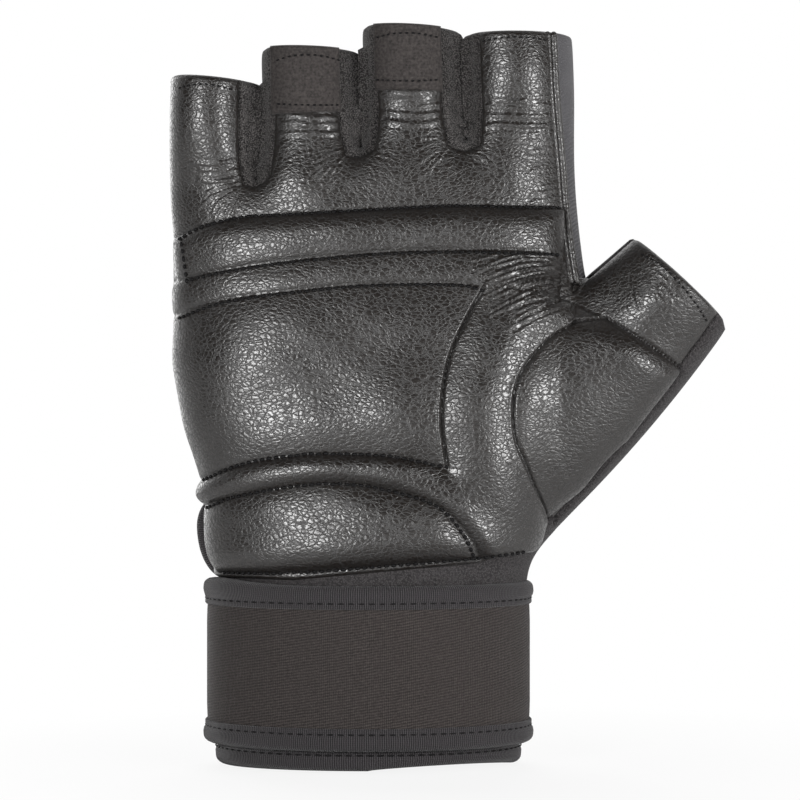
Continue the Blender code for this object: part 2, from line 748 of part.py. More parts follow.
def make_cuff_binding(finishes, collection):
    """The folded tape round the bottom of the cuff, flat underneath where the glove stands."""
    inner = -LAYER_GAP - CUFF_WALL - LAYER_GAP
    fold = CUFF_BOTTOM - LAYER_GAP
    rim = WRAP_BOTTOM - LAYER_GAP
    corners = (
        (inner - BINDING_WALL, CUFF_BINDING_HEIGHT),
        (inner - BINDING_WALL, 0.0),
        (CUFF_BINDING_WALL, 0.0),
        (CUFF_BINDING_WALL, rim),
        (0.0, rim),
        (0.0, fold),
        (inner, fold),
        (inner, CUFF_BINDING_HEIGHT),
    )
    angles = [2 * math.pi * step / RING_STEPS for step in range(RING_STEPS)]
    sections = [[ring_place(a, offset, z) for offset, z in corners] for a in angles]
    swept_piece("cuff_binding", sections, True, finishes["binding"], collection)


def centre_on_origin(collection):
    """Moves the glove so that the middle of its footprint is at the origin and it stands on z = 0."""
    bpy.context.view_layer.update()
    corners = [obj.matrix_world @ Vector(corner) for obj in collection.objects for corner in obj.bound_box]
    low = [min(corner[axis] for corner in corners) for axis in range(3)]
    high = [max(corner[axis] for corner in corners) for axis in range(3)]
    move = Vector((-(low[0] + high[0]) / 2, -(low[1] + high[1]) / 2, -low[2]))
    for obj in collection.objects:
        if not obj.parent:
            obj.location += move


def main():
    clear_scene()
    glove = new_collection("training_glove")
    finishes = {
        "leather": finish_material("palm_leather", (0.030, 0.029, 0.028), 0.42),
        "stretch": finish_material("stretch_fabric", (0.020, 0.019, 0.020), 0.85),
        "mesh": finish_material("knit_mesh", (0.022, 0.020, 0.020), 0.9),
        "rib": finish_material("ribbed_side", (0.085, 0.082, 0.088), 0.75),
        "lining": finish_material("lining", (0.05, 0.05, 0.05), 0.9),
        "foam": finish_material("foam", (0.20, 0.20, 0.19), 0.95),
        "tape": finish_material("hem_tape", (0.025, 0.022, 0.022), 0.85),
        "tab": finish_material("tab_webbing", (0.052, 0.043, 0.041), 0.8),
        "elastic": finish_material("wrap_elastic", (0.046, 0.037, 0.035), 0.85),
        "binding": finish_material("binding_tape", (0.038, 0.034, 0.037), 0.8),
        "loop_patch": finish_material("loop_pile", (0.018, 0.018, 0.018), 0.95),
        "hook_patch": finish_material("hook_plastic", (0.018, 0.018, 0.018), 0.6),
    }
    form = smooth_form()
    make_panels(form, finishes, glove)
    make_linings(form, finishes, glove)
    make_stall_trim(form, finishes, glove)
    make_cuff(form, finishes, glove)
    make_cuff_binding(finishes, glove)
    make_side_roll(finishes, glove)
    make_wrap(finishes, glove)
    bpy.data.meshes.remove(form)
    centre_on_origin(glove)


main()
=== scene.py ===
"""Looks for the half-finger training glove: leather palm, knit back and gussets, wrist wrap, stitching.

Every sewn panel is cut from the same smooth form as the CAD solids, at a finer level, and the palm's
pads, seams and creases are raised on it where the photograph shows them.
"""

import math

import bmesh
import bpy
import numpy as np
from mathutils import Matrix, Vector
from mathutils.bvhtree import BVHTree
from mathutils.kdtree import KDTree


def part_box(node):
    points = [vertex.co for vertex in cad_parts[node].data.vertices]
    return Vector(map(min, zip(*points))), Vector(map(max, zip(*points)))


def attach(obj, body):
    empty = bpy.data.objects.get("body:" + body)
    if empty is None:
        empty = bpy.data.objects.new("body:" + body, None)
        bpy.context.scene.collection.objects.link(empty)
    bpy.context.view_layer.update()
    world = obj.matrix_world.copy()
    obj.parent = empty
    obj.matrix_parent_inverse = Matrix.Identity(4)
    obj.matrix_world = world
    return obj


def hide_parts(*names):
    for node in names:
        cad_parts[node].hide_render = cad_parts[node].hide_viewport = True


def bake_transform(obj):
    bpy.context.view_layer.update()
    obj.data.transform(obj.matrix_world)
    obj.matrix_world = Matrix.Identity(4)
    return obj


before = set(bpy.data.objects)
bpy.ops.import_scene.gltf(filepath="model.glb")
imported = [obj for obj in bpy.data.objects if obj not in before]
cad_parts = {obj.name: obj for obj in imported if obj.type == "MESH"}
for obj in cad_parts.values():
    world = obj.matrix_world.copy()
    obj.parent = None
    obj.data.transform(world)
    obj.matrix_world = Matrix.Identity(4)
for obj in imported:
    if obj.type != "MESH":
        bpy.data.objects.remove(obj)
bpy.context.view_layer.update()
SCENE = bpy.context.scene
RNG = np.random.default_rng(11)

# The glove's sizes, as in the part's source, in metres
FINGER_NAMES = ("little", "ring", "middle", "index")
FINGER_WIDTHS = (0.0210, 0.0228, 0.0254, 0.0222)
FINGER_DEPTH = 0.0222
FINGER_GAP = 0.0026
FINGER_TIPS = (0.1688, 0.1762, 0.1815, 0.1800)
FINGER_LEANS = (0.0006, -0.0006, -0.0010, -0.0012)
TIP_SLOPES = (-0.0010, -0.0004, -0.0006, 0.0000)
CROTCH_HEIGHTS = (0.1400, 0.1430, 0.1515, 0.1530, 0.1490)
FINGER_CENTRE_Y = -0.0010
PALM_CENTRE_X = -0.0172
PALM_FRONT = 0.0150
PALM_BACK = 0.0135
HAND_SQUARENESS = 2.7
THUMB_TIP = Vector((0.0586, -0.0060, 0.1188))
THUMB_BULGE = 0.0024
THUMB_WIDTH = 0.0298
THUMB_DEPTH = 0.0260
THUMB_TURN = math.radians(43)
THUMB_FRONT_ANGLES = (44, 68, 90, 112, 134, 157)
THENAR_HEIGHT, THENAR_Z, THENAR_WIDE, THENAR_TALL = 0.0050, 0.084, 0.018, 0.024
CUFF_CENTRE = (-0.0185, 0.0)
CUFF_WIDTH = 0.0726
CUFF_DEPTH = 0.0500
CUFF_BOTTOM = 0.0020
CUFF_TOP = 0.0455
HEM_HEIGHT = 0.0050
TAB_HEIGHT = 0.0160
WRAP_BOTTOM = 0.0056
WRAP_HEIGHT = 0.0397
WRAP_TOP = WRAP_BOTTOM + WRAP_HEIGHT
WRAP_STANDOFF = 0.0018
WRAP_WALL = 0.0016
WRAP_SPIRAL = 0.0014
WRAP_START = math.radians(382)
STRAP_HINGE = math.radians(180)
TAB_HINGE = math.radians(96)
TAB_END = math.radians(36)
FRONT_COLUMNS = 3 * len(FINGER_NAMES)
LAST_COLUMN = FRONT_COLUMNS + 1
RING_SHRINK = (2 + math.cos(math.pi / LAST_COLUMN)) / 3

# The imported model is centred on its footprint: the cuff's rim says how far it was moved
RIM_LOW, RIM_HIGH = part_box("cuff_binding")
MOVE = Vector([(RIM_LOW[axis] + RIM_HIGH[axis]) / 2 - CUFF_CENTRE[axis] for axis in (0, 1)] + [0])

# The photograph's view: straight at the palm from a short way off
PIXELS = 800
VIEW_DISTANCE = 0.80
VIEW_WIDTH = 0.1985
VIEW_CENTRE = Vector((-0.0117, 0, 0.0899))
CAMERA_PLACE = VIEW_CENTRE - Vector((0, VIEW_DISTANCE, 0))


def to_pixels(points):
    """Where points of the glove fall in the photograph."""
    near = VIEW_DISTANCE / (VIEW_DISTANCE + points[:, 1])
    across = PIXELS / 2 + (points[:, 0] - VIEW_CENTRE.x) * near / VIEW_WIDTH * PIXELS
    down = PIXELS / 2 - (points[:, 2] - VIEW_CENTRE.z) * near / VIEW_WIDTH * PIXELS
    return np.stack([across, down], axis=1)


def pixel_ray(pixel):
    """The direction from the camera through a pixel of the photograph."""
    across = (pixel[0] - PIXELS / 2) * VIEW_WIDTH / PIXELS
    up = (PIXELS / 2 - pixel[1]) * VIEW_WIDTH / PIXELS
    return Vector((across, VIEW_DISTANCE, up)).normalized()


def pixel_place(pixel, y):
    """The point that a pixel of the photograph shows at a given depth."""
    scale = VIEW_WIDTH / PIXELS * (VIEW_DISTANCE + y) / VIEW_DISTANCE
    x, z = (pixel[0] - PIXELS / 2) * scale, (PIXELS / 2 - pixel[1]) * scale
    return np.array([VIEW_CENTRE.x + x, y, VIEW_CENTRE.z + z])


# ---- The smooth form

CUFF_LEFT = CUFF_CENTRE[0] - CUFF_WIDTH / 2 / RING_SHRINK
CUFF_RIGHT = CUFF_CENTRE[0] + CUFF_WIDTH / 2 / RING_SHRINK
CUFF_DEEP = CUFF_DEPTH / 2 / RING_SHRINK
PALM_HALF = (sum(FINGER_WIDTHS) + FINGER_GAP * (len(FINGER_WIDTHS) - 1)) / 2
PALM_LEFT = PALM_CENTRE_X - PALM_HALF
PALM_RIGHT = PALM_CENTRE_X + PALM_HALF
# each ring of the form: its name, its heights at the left, middle and right, its left and right ends,
# its depth in front and behind, and how far its columns follow the fingers
STATIONS = (
    ("cuff_bottom", (CUFF_BOTTOM,) * 3, CUFF_LEFT, CUFF_RIGHT, CUFF_DEEP, CUFF_DEEP, 0.0),
    ("cuff_middle", (0.5 * (CUFF_BOTTOM + CUFF_TOP),) * 3, CUFF_LEFT, CUFF_RIGHT, CUFF_DEEP, CUFF_DEEP, 0.0),
    ("cuff_top", (CUFF_TOP, CUFF_TOP, CUFF_TOP + 0.001), CUFF_LEFT, CUFF_RIGHT, CUFF_DEEP, CUFF_DEEP, 0.0),
    ("hem", (CUFF_TOP + 0.0018, CUFF_TOP + 0.0025, CUFF_TOP + 0.0091),
     CUFF_LEFT - 0.0006, CUFF_RIGHT + 0.0032, CUFF_DEEP - 0.0006, CUFF_DEEP - 0.0006, 0.0),
    ("heel", (0.0640, 0.0690, 0.0630),
     PALM_LEFT + 0.0106, CUFF_RIGHT + 0.0070, PALM_FRONT + 0.0060, PALM_BACK + 0.0070, 0.25),
    ("lower_palm", (0.0700, 0.0768, 0.0735),
     PALM_LEFT + 0.0092, CUFF_RIGHT + 0.0086, PALM_FRONT + 0.0062, PALM_BACK + 0.0065, 0.4),
    ("middle_palm", (0.0850, 0.0890, 0.0850),
     PALM_LEFT + 0.0046, CUFF_RIGHT + 0.0110, PALM_FRONT + 0.0054, PALM_BACK + 0.0052, 0.55),
    ("thumb_palm", (0.0990, 0.1025, 0.1010),
     PALM_LEFT + 0.0024, CUFF_RIGHT + 0.0140, PALM_FRONT + 0.0044, PALM_BACK + 0.0040, 0.75),
    ("web", (0.1100, 0.1168, 0.1160),
     PALM_LEFT + 0.0024, PALM_RIGHT + 0.0032, PALM_FRONT + 0.0032, PALM_BACK + 0.0028, 0.9),
    ("roll_line", (0.1190, 0.1255, 0.1255),
     PALM_LEFT + 0.0021, PALM_RIGHT + 0.0019, PALM_FRONT + 0.0020, PALM_BACK + 0.0018, 1.0),
    ("knuckle_line", (0.1300, 0.1355, 0.1368),
     PALM_LEFT + 0.0011, PALM_RIGHT + 0.0007, PALM_FRONT + 0.0006, PALM_BACK + 0.0006, 1.0),
    ("crotch", (CROTCH_HEIGHTS[0], 0.5 * (CROTCH_HEIGHTS[0] + CROTCH_HEIGHTS[-1]), CROTCH_HEIGHTS[-1]),
     PALM_LEFT + 0.0002, PALM_RIGHT, PALM_FRONT - 0.0012, PALM_BACK - 0.0008, 1.0),
)
ROW = {station[0]: index for index, station in enumerate(STATIONS)}
TAB_ROW, STALL_HEM_ROW, TIP_ROW = (ROW["crotch"] + step for step in (1, 2, 3))
BELOW_TIP = {TAB_ROW: TAB_HEIGHT, STALL_HEM_ROW: HEM_HEIGHT, TIP_ROW: 0.0}
THUMB_ROWS = range(ROW["hem"], ROW["web"] + 1)
THUMB_STEPS = (0.28, 0.58)
THUMB_HEM_SHARE = 0.84
# a stall's section: shares of the finger's width, and of half its depth
STALL_SECTION = {
    "left": (-0.037, 0.02),
    "front": ((0.09, -0.92), (0.42, -1.16), (0.75, -0.94)),
    "right": (1.055, 0.05),
    "back": ((0.12, 0.94), (0.50, 1.14), (0.88, 0.94)),
}
CROTCH_SHARES = (0.05, 0.44, 0.82)
PANELS = ("palm", "back", "gusset_0", "gusset_1", "gusset_2", "side", "thumb_back", "cuff")
STALL_LEFTS = [PALM_LEFT]
for width in FINGER_WIDTHS[:-1]:
    STALL_LEFTS.append(STALL_LEFTS[-1] + (width + FINGER_GAP))
STALL_COLUMNS = [
    left + width * share for left, width in zip(STALL_LEFTS, FINGER_WIDTHS) for share in CROTCH_SHARES
]


def through_three(values, share):
    """A curve through three values, read at a share of the way."""
    left, middle, right = values
    bend = 2 * left + 2 * right - 4 * middle
    return left + (4 * middle - 3 * left - right) * share + bend * share * share


def thenar_mound(x, z):
    """How far the ball of the thumb stands out of the palm."""
    across = (x - (CUFF_CENTRE[0] + CUFF_WIDTH * 0.52)) / THENAR_WIDE
    along = (z - THENAR_Z) / THENAR_TALL
    return THENAR_HEIGHT * math.exp(-across * across - along * along)


def crotch_height(column):
    if column in (0, LAST_COLUMN):
        return CROTCH_HEIGHTS[0 if column == 0 else -1]
    finger = (column - 1) // 3
    share = CROTCH_SHARES[(column - 1) % 3]
    return CROTCH_HEIGHTS[finger] + (CROTCH_HEIGHTS[finger + 1] - CROTCH_HEIGHTS[finger]) * share


def palm_point(row, column, front):
    _, heights, left, right, front_depth, back_depth, spread = STATIONS[row]
    centre, half = (left + right) / 2, (right - left) / 2
    x = centre - half * math.cos(math.pi * column / LAST_COLUMN)
    if 0 < column < LAST_COLUMN:
        full = 2 * (PALM_CENTRE_X - STALL_LEFTS[0])
        x_stall = left + (STALL_COLUMNS[column - 1] - STALL_LEFTS[0]) / full * (right - left)
        x += (x_stall - x) * spread
    squareness = 2 + (HAND_SQUARENESS - 2) * min(1.0, 2 * spread)
    rise = (1 - min(1.0, abs(x - centre) / half) ** squareness) ** (1 / squareness)
    z = through_three(heights, (x - left) / (right - left))
    if front:
        y = CUFF_CENTRE[1] - front_depth * rise - (thenar_mound(x, z) if spread else 0.0)
    else:
        y = CUFF_CENTRE[1] + back_depth * rise
    return Vector((x, y, crotch_height(column) if row == ROW["crotch"] else z))


def stall_point(finger, row, section_point):
    share, depth = section_point
    z = FINGER_TIPS[finger] + TIP_SLOPES[finger] * (2 * share - 1) - BELOW_TIP[row]
    base = 0.5 * (CROTCH_HEIGHTS[finger] + CROTCH_HEIGHTS[finger + 1])
    lean = FINGER_LEANS[finger] * (z - base) / (FINGER_TIPS[finger] - base)
    x = STALL_LEFTS[finger] + FINGER_WIDTHS[finger] * share + lean
    return Vector((x, FINGER_CENTRE_Y + depth * FINGER_DEPTH / 2, z))


class Cage:
    """The coarse quads of the form. A face knows its panel, and a point its row, column and thumb share."""

    def __init__(self):
        self.mesh = bmesh.new()
        self.marks = [self.mesh.verts.layers.float.new(name) for name in ("row", "column", "thumb")]
        self.panel = self.mesh.faces.layers.int.new("panel")

    def point(self, place, *marks):
        vert = self.mesh.verts.new(place + MOVE)
        for layer, value in zip(self.marks, marks):
            vert[layer] = value
        return vert

    def quad(self, panel, *corners):
        self.mesh.faces.new(corners)[self.panel] = PANELS.index(panel)

    def palm(self):
        rings = []
        for row in range(len(STATIONS)):
            ring = {}
            for column in range(LAST_COLUMN + 1):
                edge = column in (0, LAST_COLUMN)
                if column == LAST_COLUMN and ROW["hem"] < row < ROW["web"]:
                    continue
                for front in (True,) if edge else (True, False):
                    ring[column, front] = self.point(palm_point(row, column, front), row, column, 0)
                if edge:
                    ring[column, False] = ring[column, True]
            rings.append(ring)
        for row, (low, high) in enumerate(zip(rings, rings[1:])):
            for column in range(LAST_COLUMN):
                if column == FRONT_COLUMNS and ROW["hem"] <= row < ROW["web"]:
                    continue
                for front in (True, False):
                    panel = "palm" if front else "back"
                    panel = "cuff" if row < ROW["hem"] else "side" if column == FRONT_COLUMNS else panel
                    near, far = (column, front), (column + 1, front)
                    corners = (low[near], low[far], high[far], high[near])
                    self.quad(panel, *(corners if front else reversed(corners)))
        return rings

    def stalls(self, crotch):
        last = len(FINGER_NAMES) - 1
        floors = {}
        for finger in range(last + 1):
            first = 3 * finger + 1
            for side in ("left", "right"):
                if finger == (0 if side == "left" else last):
                    floors[finger, side] = crotch[0 if side == "left" else LAST_COLUMN, True]
                    continue
                height = CROTCH_HEIGHTS[finger if side == "left" else finger + 1] - 0.001
                share, depth = STALL_SECTION[side]
                x = STALL_LEFTS[finger] + FINGER_WIDTHS[finger] * share
                place = Vector((x, FINGER_CENTRE_Y + depth * FINGER_DEPTH / 2, height))
                floors[finger, side] = self.point(place, ROW["crotch"], first, 0)
            below = {side: floors[finger, side] for side in ("left", "right")}
            below.update({("front", n): crotch[first + n, True] for n in range(3)})
            below.update({("back", n): crotch[first + n, False] for n in range(3)})
            for row in (TAB_ROW, STALL_HEM_ROW, TIP_ROW):
                above = {}
                for side in ("left", "right"):
                    above[side] = self.point(stall_point(finger, row, STALL_SECTION[side]), row, first, 0)
                for face in ("front", "back"):
                    for n, place in enumerate(STALL_SECTION[face]):
                        above[face, n] = self.point(stall_point(finger, row, place), row, first + n, 0)
                self.stall_row(finger, last, below, above)
                below = above
        for finger in range(last):
            right, left = floors[finger, "right"], floors[finger + 1, "left"]
            here, there = 3 * finger + 3, 3 * finger + 4
            self.quad(f"gusset_{finger}", crotch[here, True], crotch[there, True], left, right)
            self.quad(f"gusset_{finger}", right, left, crotch[there, False], crotch[here, False])

    def stall_row(self, finger, last, low, high):
        right = "side" if finger == last else f"gusset_{finger}"
        lefts = ("palm", "back") if finger == 0 else (f"gusset_{finger - 1}",) * 2
        panels = (lefts[0], "palm", "palm", right, right, "back", "back", lefts[1])
        ring = ["left", *(("front", n) for n in range(3)), "right", *(("back", n) for n in (2, 1, 0)), "left"]
        for panel, near, far in zip(panels, ring, ring[1:]):
            self.quad(panel, low[near], low[far], high[far], high[near])

    def thumb(self, rings):
        base = [rings[ROW["hem"]][LAST_COLUMN, True]]
        base += [rings[row][FRONT_COLUMNS, True] for row in THUMB_ROWS]
        base += [rings[ROW["web"]][LAST_COLUMN, True]]
        base += [rings[row][FRONT_COLUMNS, False] for row in reversed(THUMB_ROWS)]
        outwards = Vector((math.cos(THUMB_TURN), 0.0, -math.sin(THUMB_TURN)))
        angles = [0, *THUMB_FRONT_ANGLES, 180, *(360 - angle for angle in reversed(THUMB_FRONT_ANGLES))]
        below = base
        for share in (*THUMB_STEPS, THUMB_HEM_SHARE, 1.0):
            above = []
            for vert, angle in zip(base, map(math.radians, angles)):
                across = outwards * math.cos(angle) * THUMB_WIDTH / 2
                end = THUMB_TIP + across + Vector((0, -math.sin(angle) * THUMB_DEPTH / 2, 0))
                bulge = outwards * THUMB_BULGE * max(0.0, math.cos(angle)) * 4 * share * (1 - share)
                place = (vert.co - MOVE).lerp(end, share) + bulge
                above.append(self.point(place, vert[self.marks[0]], vert[self.marks[1]], share))
            for index in range(len(base)):
                following = (index + 1) % len(base)
                leather = 1 <= index <= len(THUMB_FRONT_ANGLES)
                corners = (below[index], above[index], above[following], below[following])
                self.quad("palm" if leather else "thumb_back", *corners)
            below = above


# the gap between the middle and index stalls is drawn a little towards the little finger, from a height on
GAP_PLACE, GAP_REACH, GAP_SHIFT, GAP_FROM, GAP_RISE = 0.0059, 0.014, 0.0026, 0.118, 0.022


def read_out(items, name, width=1, kind=float):
    """One value, or a row of some, from each item of a mesh."""
    values = np.empty(len(items) * width, kind)
    items.foreach_get(name, values)
    return values.reshape(-1, width) if width > 1 else values


class Form:
    """The smooth form as arrays: places, outward normals, marks, quads and each quad's panel."""

    def __init__(self, levels):
        cage = Cage()
        rings = cage.palm()
        cage.stalls(rings[ROW["crotch"]])
        cage.thumb(rings)
        bmesh.ops.recalc_face_normals(cage.mesh, faces=cage.mesh.faces)
        data = bpy.data.meshes.new("form")
        cage.mesh.to_mesh(data)
        cage.mesh.free()
        holder = bpy.data.objects.new("form", data)
        SCENE.collection.objects.link(holder)
        smoothing = holder.modifiers.new("smooth", "SUBSURF")
        smoothing.levels = smoothing.render_levels = levels
        graph = bpy.context.evaluated_depsgraph_get()
        mesh = bpy.data.meshes.new_from_object(holder.evaluated_get(graph))
        bpy.data.objects.remove(holder)
        self.places = read_out(mesh.vertices, "co", 3)
        beside = np.exp(-(((self.places[:, 0] - GAP_PLACE) / GAP_REACH) ** 2))
        self.places[:, 0] -= GAP_SHIFT * beside * np.clip((self.places[:, 2] - GAP_FROM) / GAP_RISE, 0, 1)
        self.normals = read_out(mesh.vertices, "normal", 3)
        self.row, self.column, self.thumb = (
            read_out(mesh.attributes[name].data, "value", 1, np.float32).astype(float)
            for name in ("row", "column", "thumb")
        )
        self.quads = read_out(mesh.loops, "vertex_index", 1, np.int32).reshape(-1, 4)
        self.panel = read_out(mesh.attributes["panel"].data, "value", 1, np.int32)
        bpy.data.meshes.remove(mesh)

    def of_panel(self, *names):
        """The quads of some panels."""
        return self.quads[np.isin(self.panel, [PANELS.index(name) for name in names])]


def edges_of(quads):
    """The four edges of every quad."""
    return np.concatenate([quads[:, [n, (n + 1) % 4]] for n in range(4)])


def rim_edges(quads):
    """The edges that only one quad has, each as that quad runs along it."""
    edges = edges_of(quads)
    _, index, count = np.unique(np.sort(edges, axis=1), axis=0, return_inverse=True, return_counts=True)
    return edges[count[index.reshape(-1)] == 1]


def distance_to_rim(form, quads):
    """How far each point of some quads lies from their rim, in metres. Other points get zero."""
    edges = rim_edges(quads)
    places = np.concatenate([form.places[edges[:, 0]], form.places[edges].mean(axis=1)])
    tree = KDTree(len(places))
    for index, place in enumerate(places):
        tree.insert(place, index)
    tree.balance()
    distance = np.zeros(len(form.places))
    for vert in np.unique(quads):
        distance[vert] = tree.find(form.places[vert])[2]
    return distance


def rounded(distance, reach, low=0.0):
    """A rounded edge: low at the rim, one from a reach inside it."""
    inside = np.clip(distance / reach, 0, 1)
    return low + (1 - low) * np.sqrt(1 - (1 - inside) ** 2)


def add_object(name, data):
    obj = bpy.data.objects.new(name, data)
    SCENE.collection.objects.link(obj)
    return obj


SHARP_ANGLE = math.radians(60)


def mesh_object(name, places, faces, material):
    """A smooth-shaded mesh. faces is an array of quads, or a list of corner lists."""
    data = bpy.data.meshes.new(name)
    if isinstance(faces, np.ndarray):
        data.vertices.add(len(places))
        data.vertices.foreach_set("co", places.astype(np.float32).reshape(-1))
        data.loops.add(faces.size)
        data.loops.foreach_set("vertex_index", faces.astype(np.int32).reshape(-1))
        data.polygons.add(len(faces))
        data.polygons.foreach_set("loop_start", np.arange(0, faces.size, 4, dtype=np.int32))
        data.update(calc_edges=True)
    else:
        data.from_pydata([tuple(place) for place in places], [], faces)
    data.validate()
    data.materials.append(material)
    data.shade_smooth()
    data.set_sharp_from_angle(angle=SHARP_ANGLE)
    return add_object(name, data)


def shell(name, form, quads, outer, inner, material):
    """A closed wall over some quads of the form, from inner to outer metres off it."""
    used, index = np.unique(quads, return_inverse=True)
    index = index.reshape(-1, 4)
    count = len(used)
    top, bottom = (
        form.places[used] + form.normals[used] * np.broadcast_to(off, len(form.places))[used][:, None]
        for off in (outer, inner)
    )
    rim = rim_edges(index)
    sides = np.stack([rim[:, 1], rim[:, 0], rim[:, 0] + count, rim[:, 1] + count], axis=1)
    faces = np.concatenate([index, index[:, ::-1] + count, sides])
    return mesh_object(name, np.concatenate([top, bottom]), faces, material)


# ---- Finishes


def add_node(tree, kind, inputs=None, **settings):
    """A new node, with a value or a socket for some of its inputs."""
    node = tree.nodes.new(kind)
    for name, value in settings.items():
        setattr(node, name, value)
    for key, value in (inputs or {}).items():
        if isinstance(value, bpy.types.NodeSocket):
            tree.links.new(value, node.inputs[key])
        else:
            node.inputs[key].default_value = value
    return node


class Wiring:
    """Short ways to wire a shader tree. Each adds a node and gives what comes out of it."""

    def __init__(self, tree):
        self.tree = tree

    def add(self, kind, inputs=None, **settings):
        return add_node(self.tree, f"ShaderNode{kind}", inputs, **settings).outputs

    def math(self, operation, *values, clamp=False):
        return self.add("Math", dict(enumerate(values)), operation=operation, use_clamp=clamp)[0]

    def times(self, value, factor):
        return self.math("MULTIPLY", value, factor)

    def plus(self, value, factor, rest):
        """A value times a factor, plus the rest."""
        return self.math("MULTIPLY_ADD", value, factor, rest)

    def noise(self, place, scale, detail):
        return self.add("TexNoise", {"Vector": place, "Scale": scale, "Detail": detail})["Fac"]

    def steps(self, place, size):
        """Places counted in steps of a size."""
        each = self.math("DIVIDE", 1.0, size)
        return self.add("VectorMath", {0: place, "Scale": each}, operation="SCALE")[0]

    def spread(self, value, low, high, to_low=0.0, to_high=1.0, kind="LINEAR"):
        """A value taken from one range to another."""
        ends = {"From Min": low, "From Max": high, "To Min": to_low, "To Max": to_high}
        return self.add("MapRange", {"Value": value, **ends}, interpolation_type=kind)[0]

    def give(self, **results):
        """Ends a group: names what comes out of it."""
        for label in results:
            self.tree.interface.new_socket(label, in_out="OUTPUT", socket_type="NodeSocketFloat")
        add_node(self.tree, "NodeGroupOutput", results)
        return self.tree


def new_group(name, **sizes):
    """A group of shader nodes that reads a place and some sizes."""
    tree = bpy.data.node_groups.new(name, "ShaderNodeTree")
    tree.interface.new_socket("Place", in_out="INPUT", socket_type="NodeSocketVector")
    for label, value in sizes.items():
        tree.interface.new_socket(label, in_out="INPUT", socket_type="NodeSocketFloat").default_value = value
    return Wiring(tree), tree.nodes.new("NodeGroupInput").outputs


def build_pebbles():
    """Raised cells of leather grain between fine dark cracks."""
    wire, given = new_group("pebble_grain", Cell=0.0012, Crack=0.2)
    scaled = wire.steps(given["Place"], given["Cell"])
    wander = wire.add("TexNoise", {"Vector": scaled, "Scale": 0.9, "Detail": 2.0})["Color"]
    centred = wire.add("VectorMath", {0: wander, 1: (0.5,) * 3}, operation="SUBTRACT")[0]
    pushed = wire.add("VectorMath", {0: centred, 1: (0.85,) * 3, 2: scaled}, operation="MULTIPLY_ADD")[0]
    cells, folds = (
        wire.add("TexVoronoi", {"Vector": pushed, "Scale": scale}, feature="DISTANCE_TO_EDGE")["Distance"]
        for scale in (1.0, 0.42)
    )
    dome, crack, wrinkle = (
        wire.spread(distance, 0.0, reach, kind="SMOOTHSTEP")
        for distance, reach in ((cells, 0.45), (cells, given["Crack"]), (folds, 0.07))
    )
    fine = wire.plus(wire.noise(scaled, 3.2, 2.0), 0.18, wire.times(crack, 0.38))
    height = wire.plus(dome, 0.52, wire.plus(wrinkle, 0.45, fine))
    cracked = wire.math("SUBTRACT", 1.0, wire.times(crack, wire.plus(wrinkle, 0.6, 0.4)))
    return wire.give(Height=height, Crack=cracked, Tone=wire.noise(scaled, 0.11, 3.0))


def build_loops():
    """Tiny uneven loops, as on terry knit, jersey and pile."""
    wire, given = new_group("knit_loops", Loop=0.0006)
    scaled = wire.steps(given["Place"], given["Loop"])
    loops = wire.add("TexVoronoi", {"Vector": scaled, "Scale": 1.0, "Smoothness": 0.35}, feature="SMOOTH_F1")
    height = wire.plus(wire.noise(scaled, 2.1, 3.0), 0.5, wire.math("SUBTRACT", 1.0, loops["Distance"]))
    return wire.give(Height=height, Tone=wire.noise(scaled, 0.07, 3.0))


def build_ribs():
    """Even ribs across a direction, with some waver. Along is in metres."""
    wire, given = new_group("fine_ribs", Along=0.0, Pitch=0.001, Waver=0.6)
    turns = wire.math("DIVIDE", given["Along"], given["Pitch"])
    swing = wire.times(wire.noise(given["Place"], 420.0, 3.0), given["Waver"])
    wave = wire.math("SINE", wire.times(wire.math("ADD", turns, swing), 2 * math.pi))
    return wire.give(Height=wire.plus(wave, 0.5, 0.5))


PEBBLES = build_pebbles()
LOOPS = build_loops()
RIBS = build_ribs()


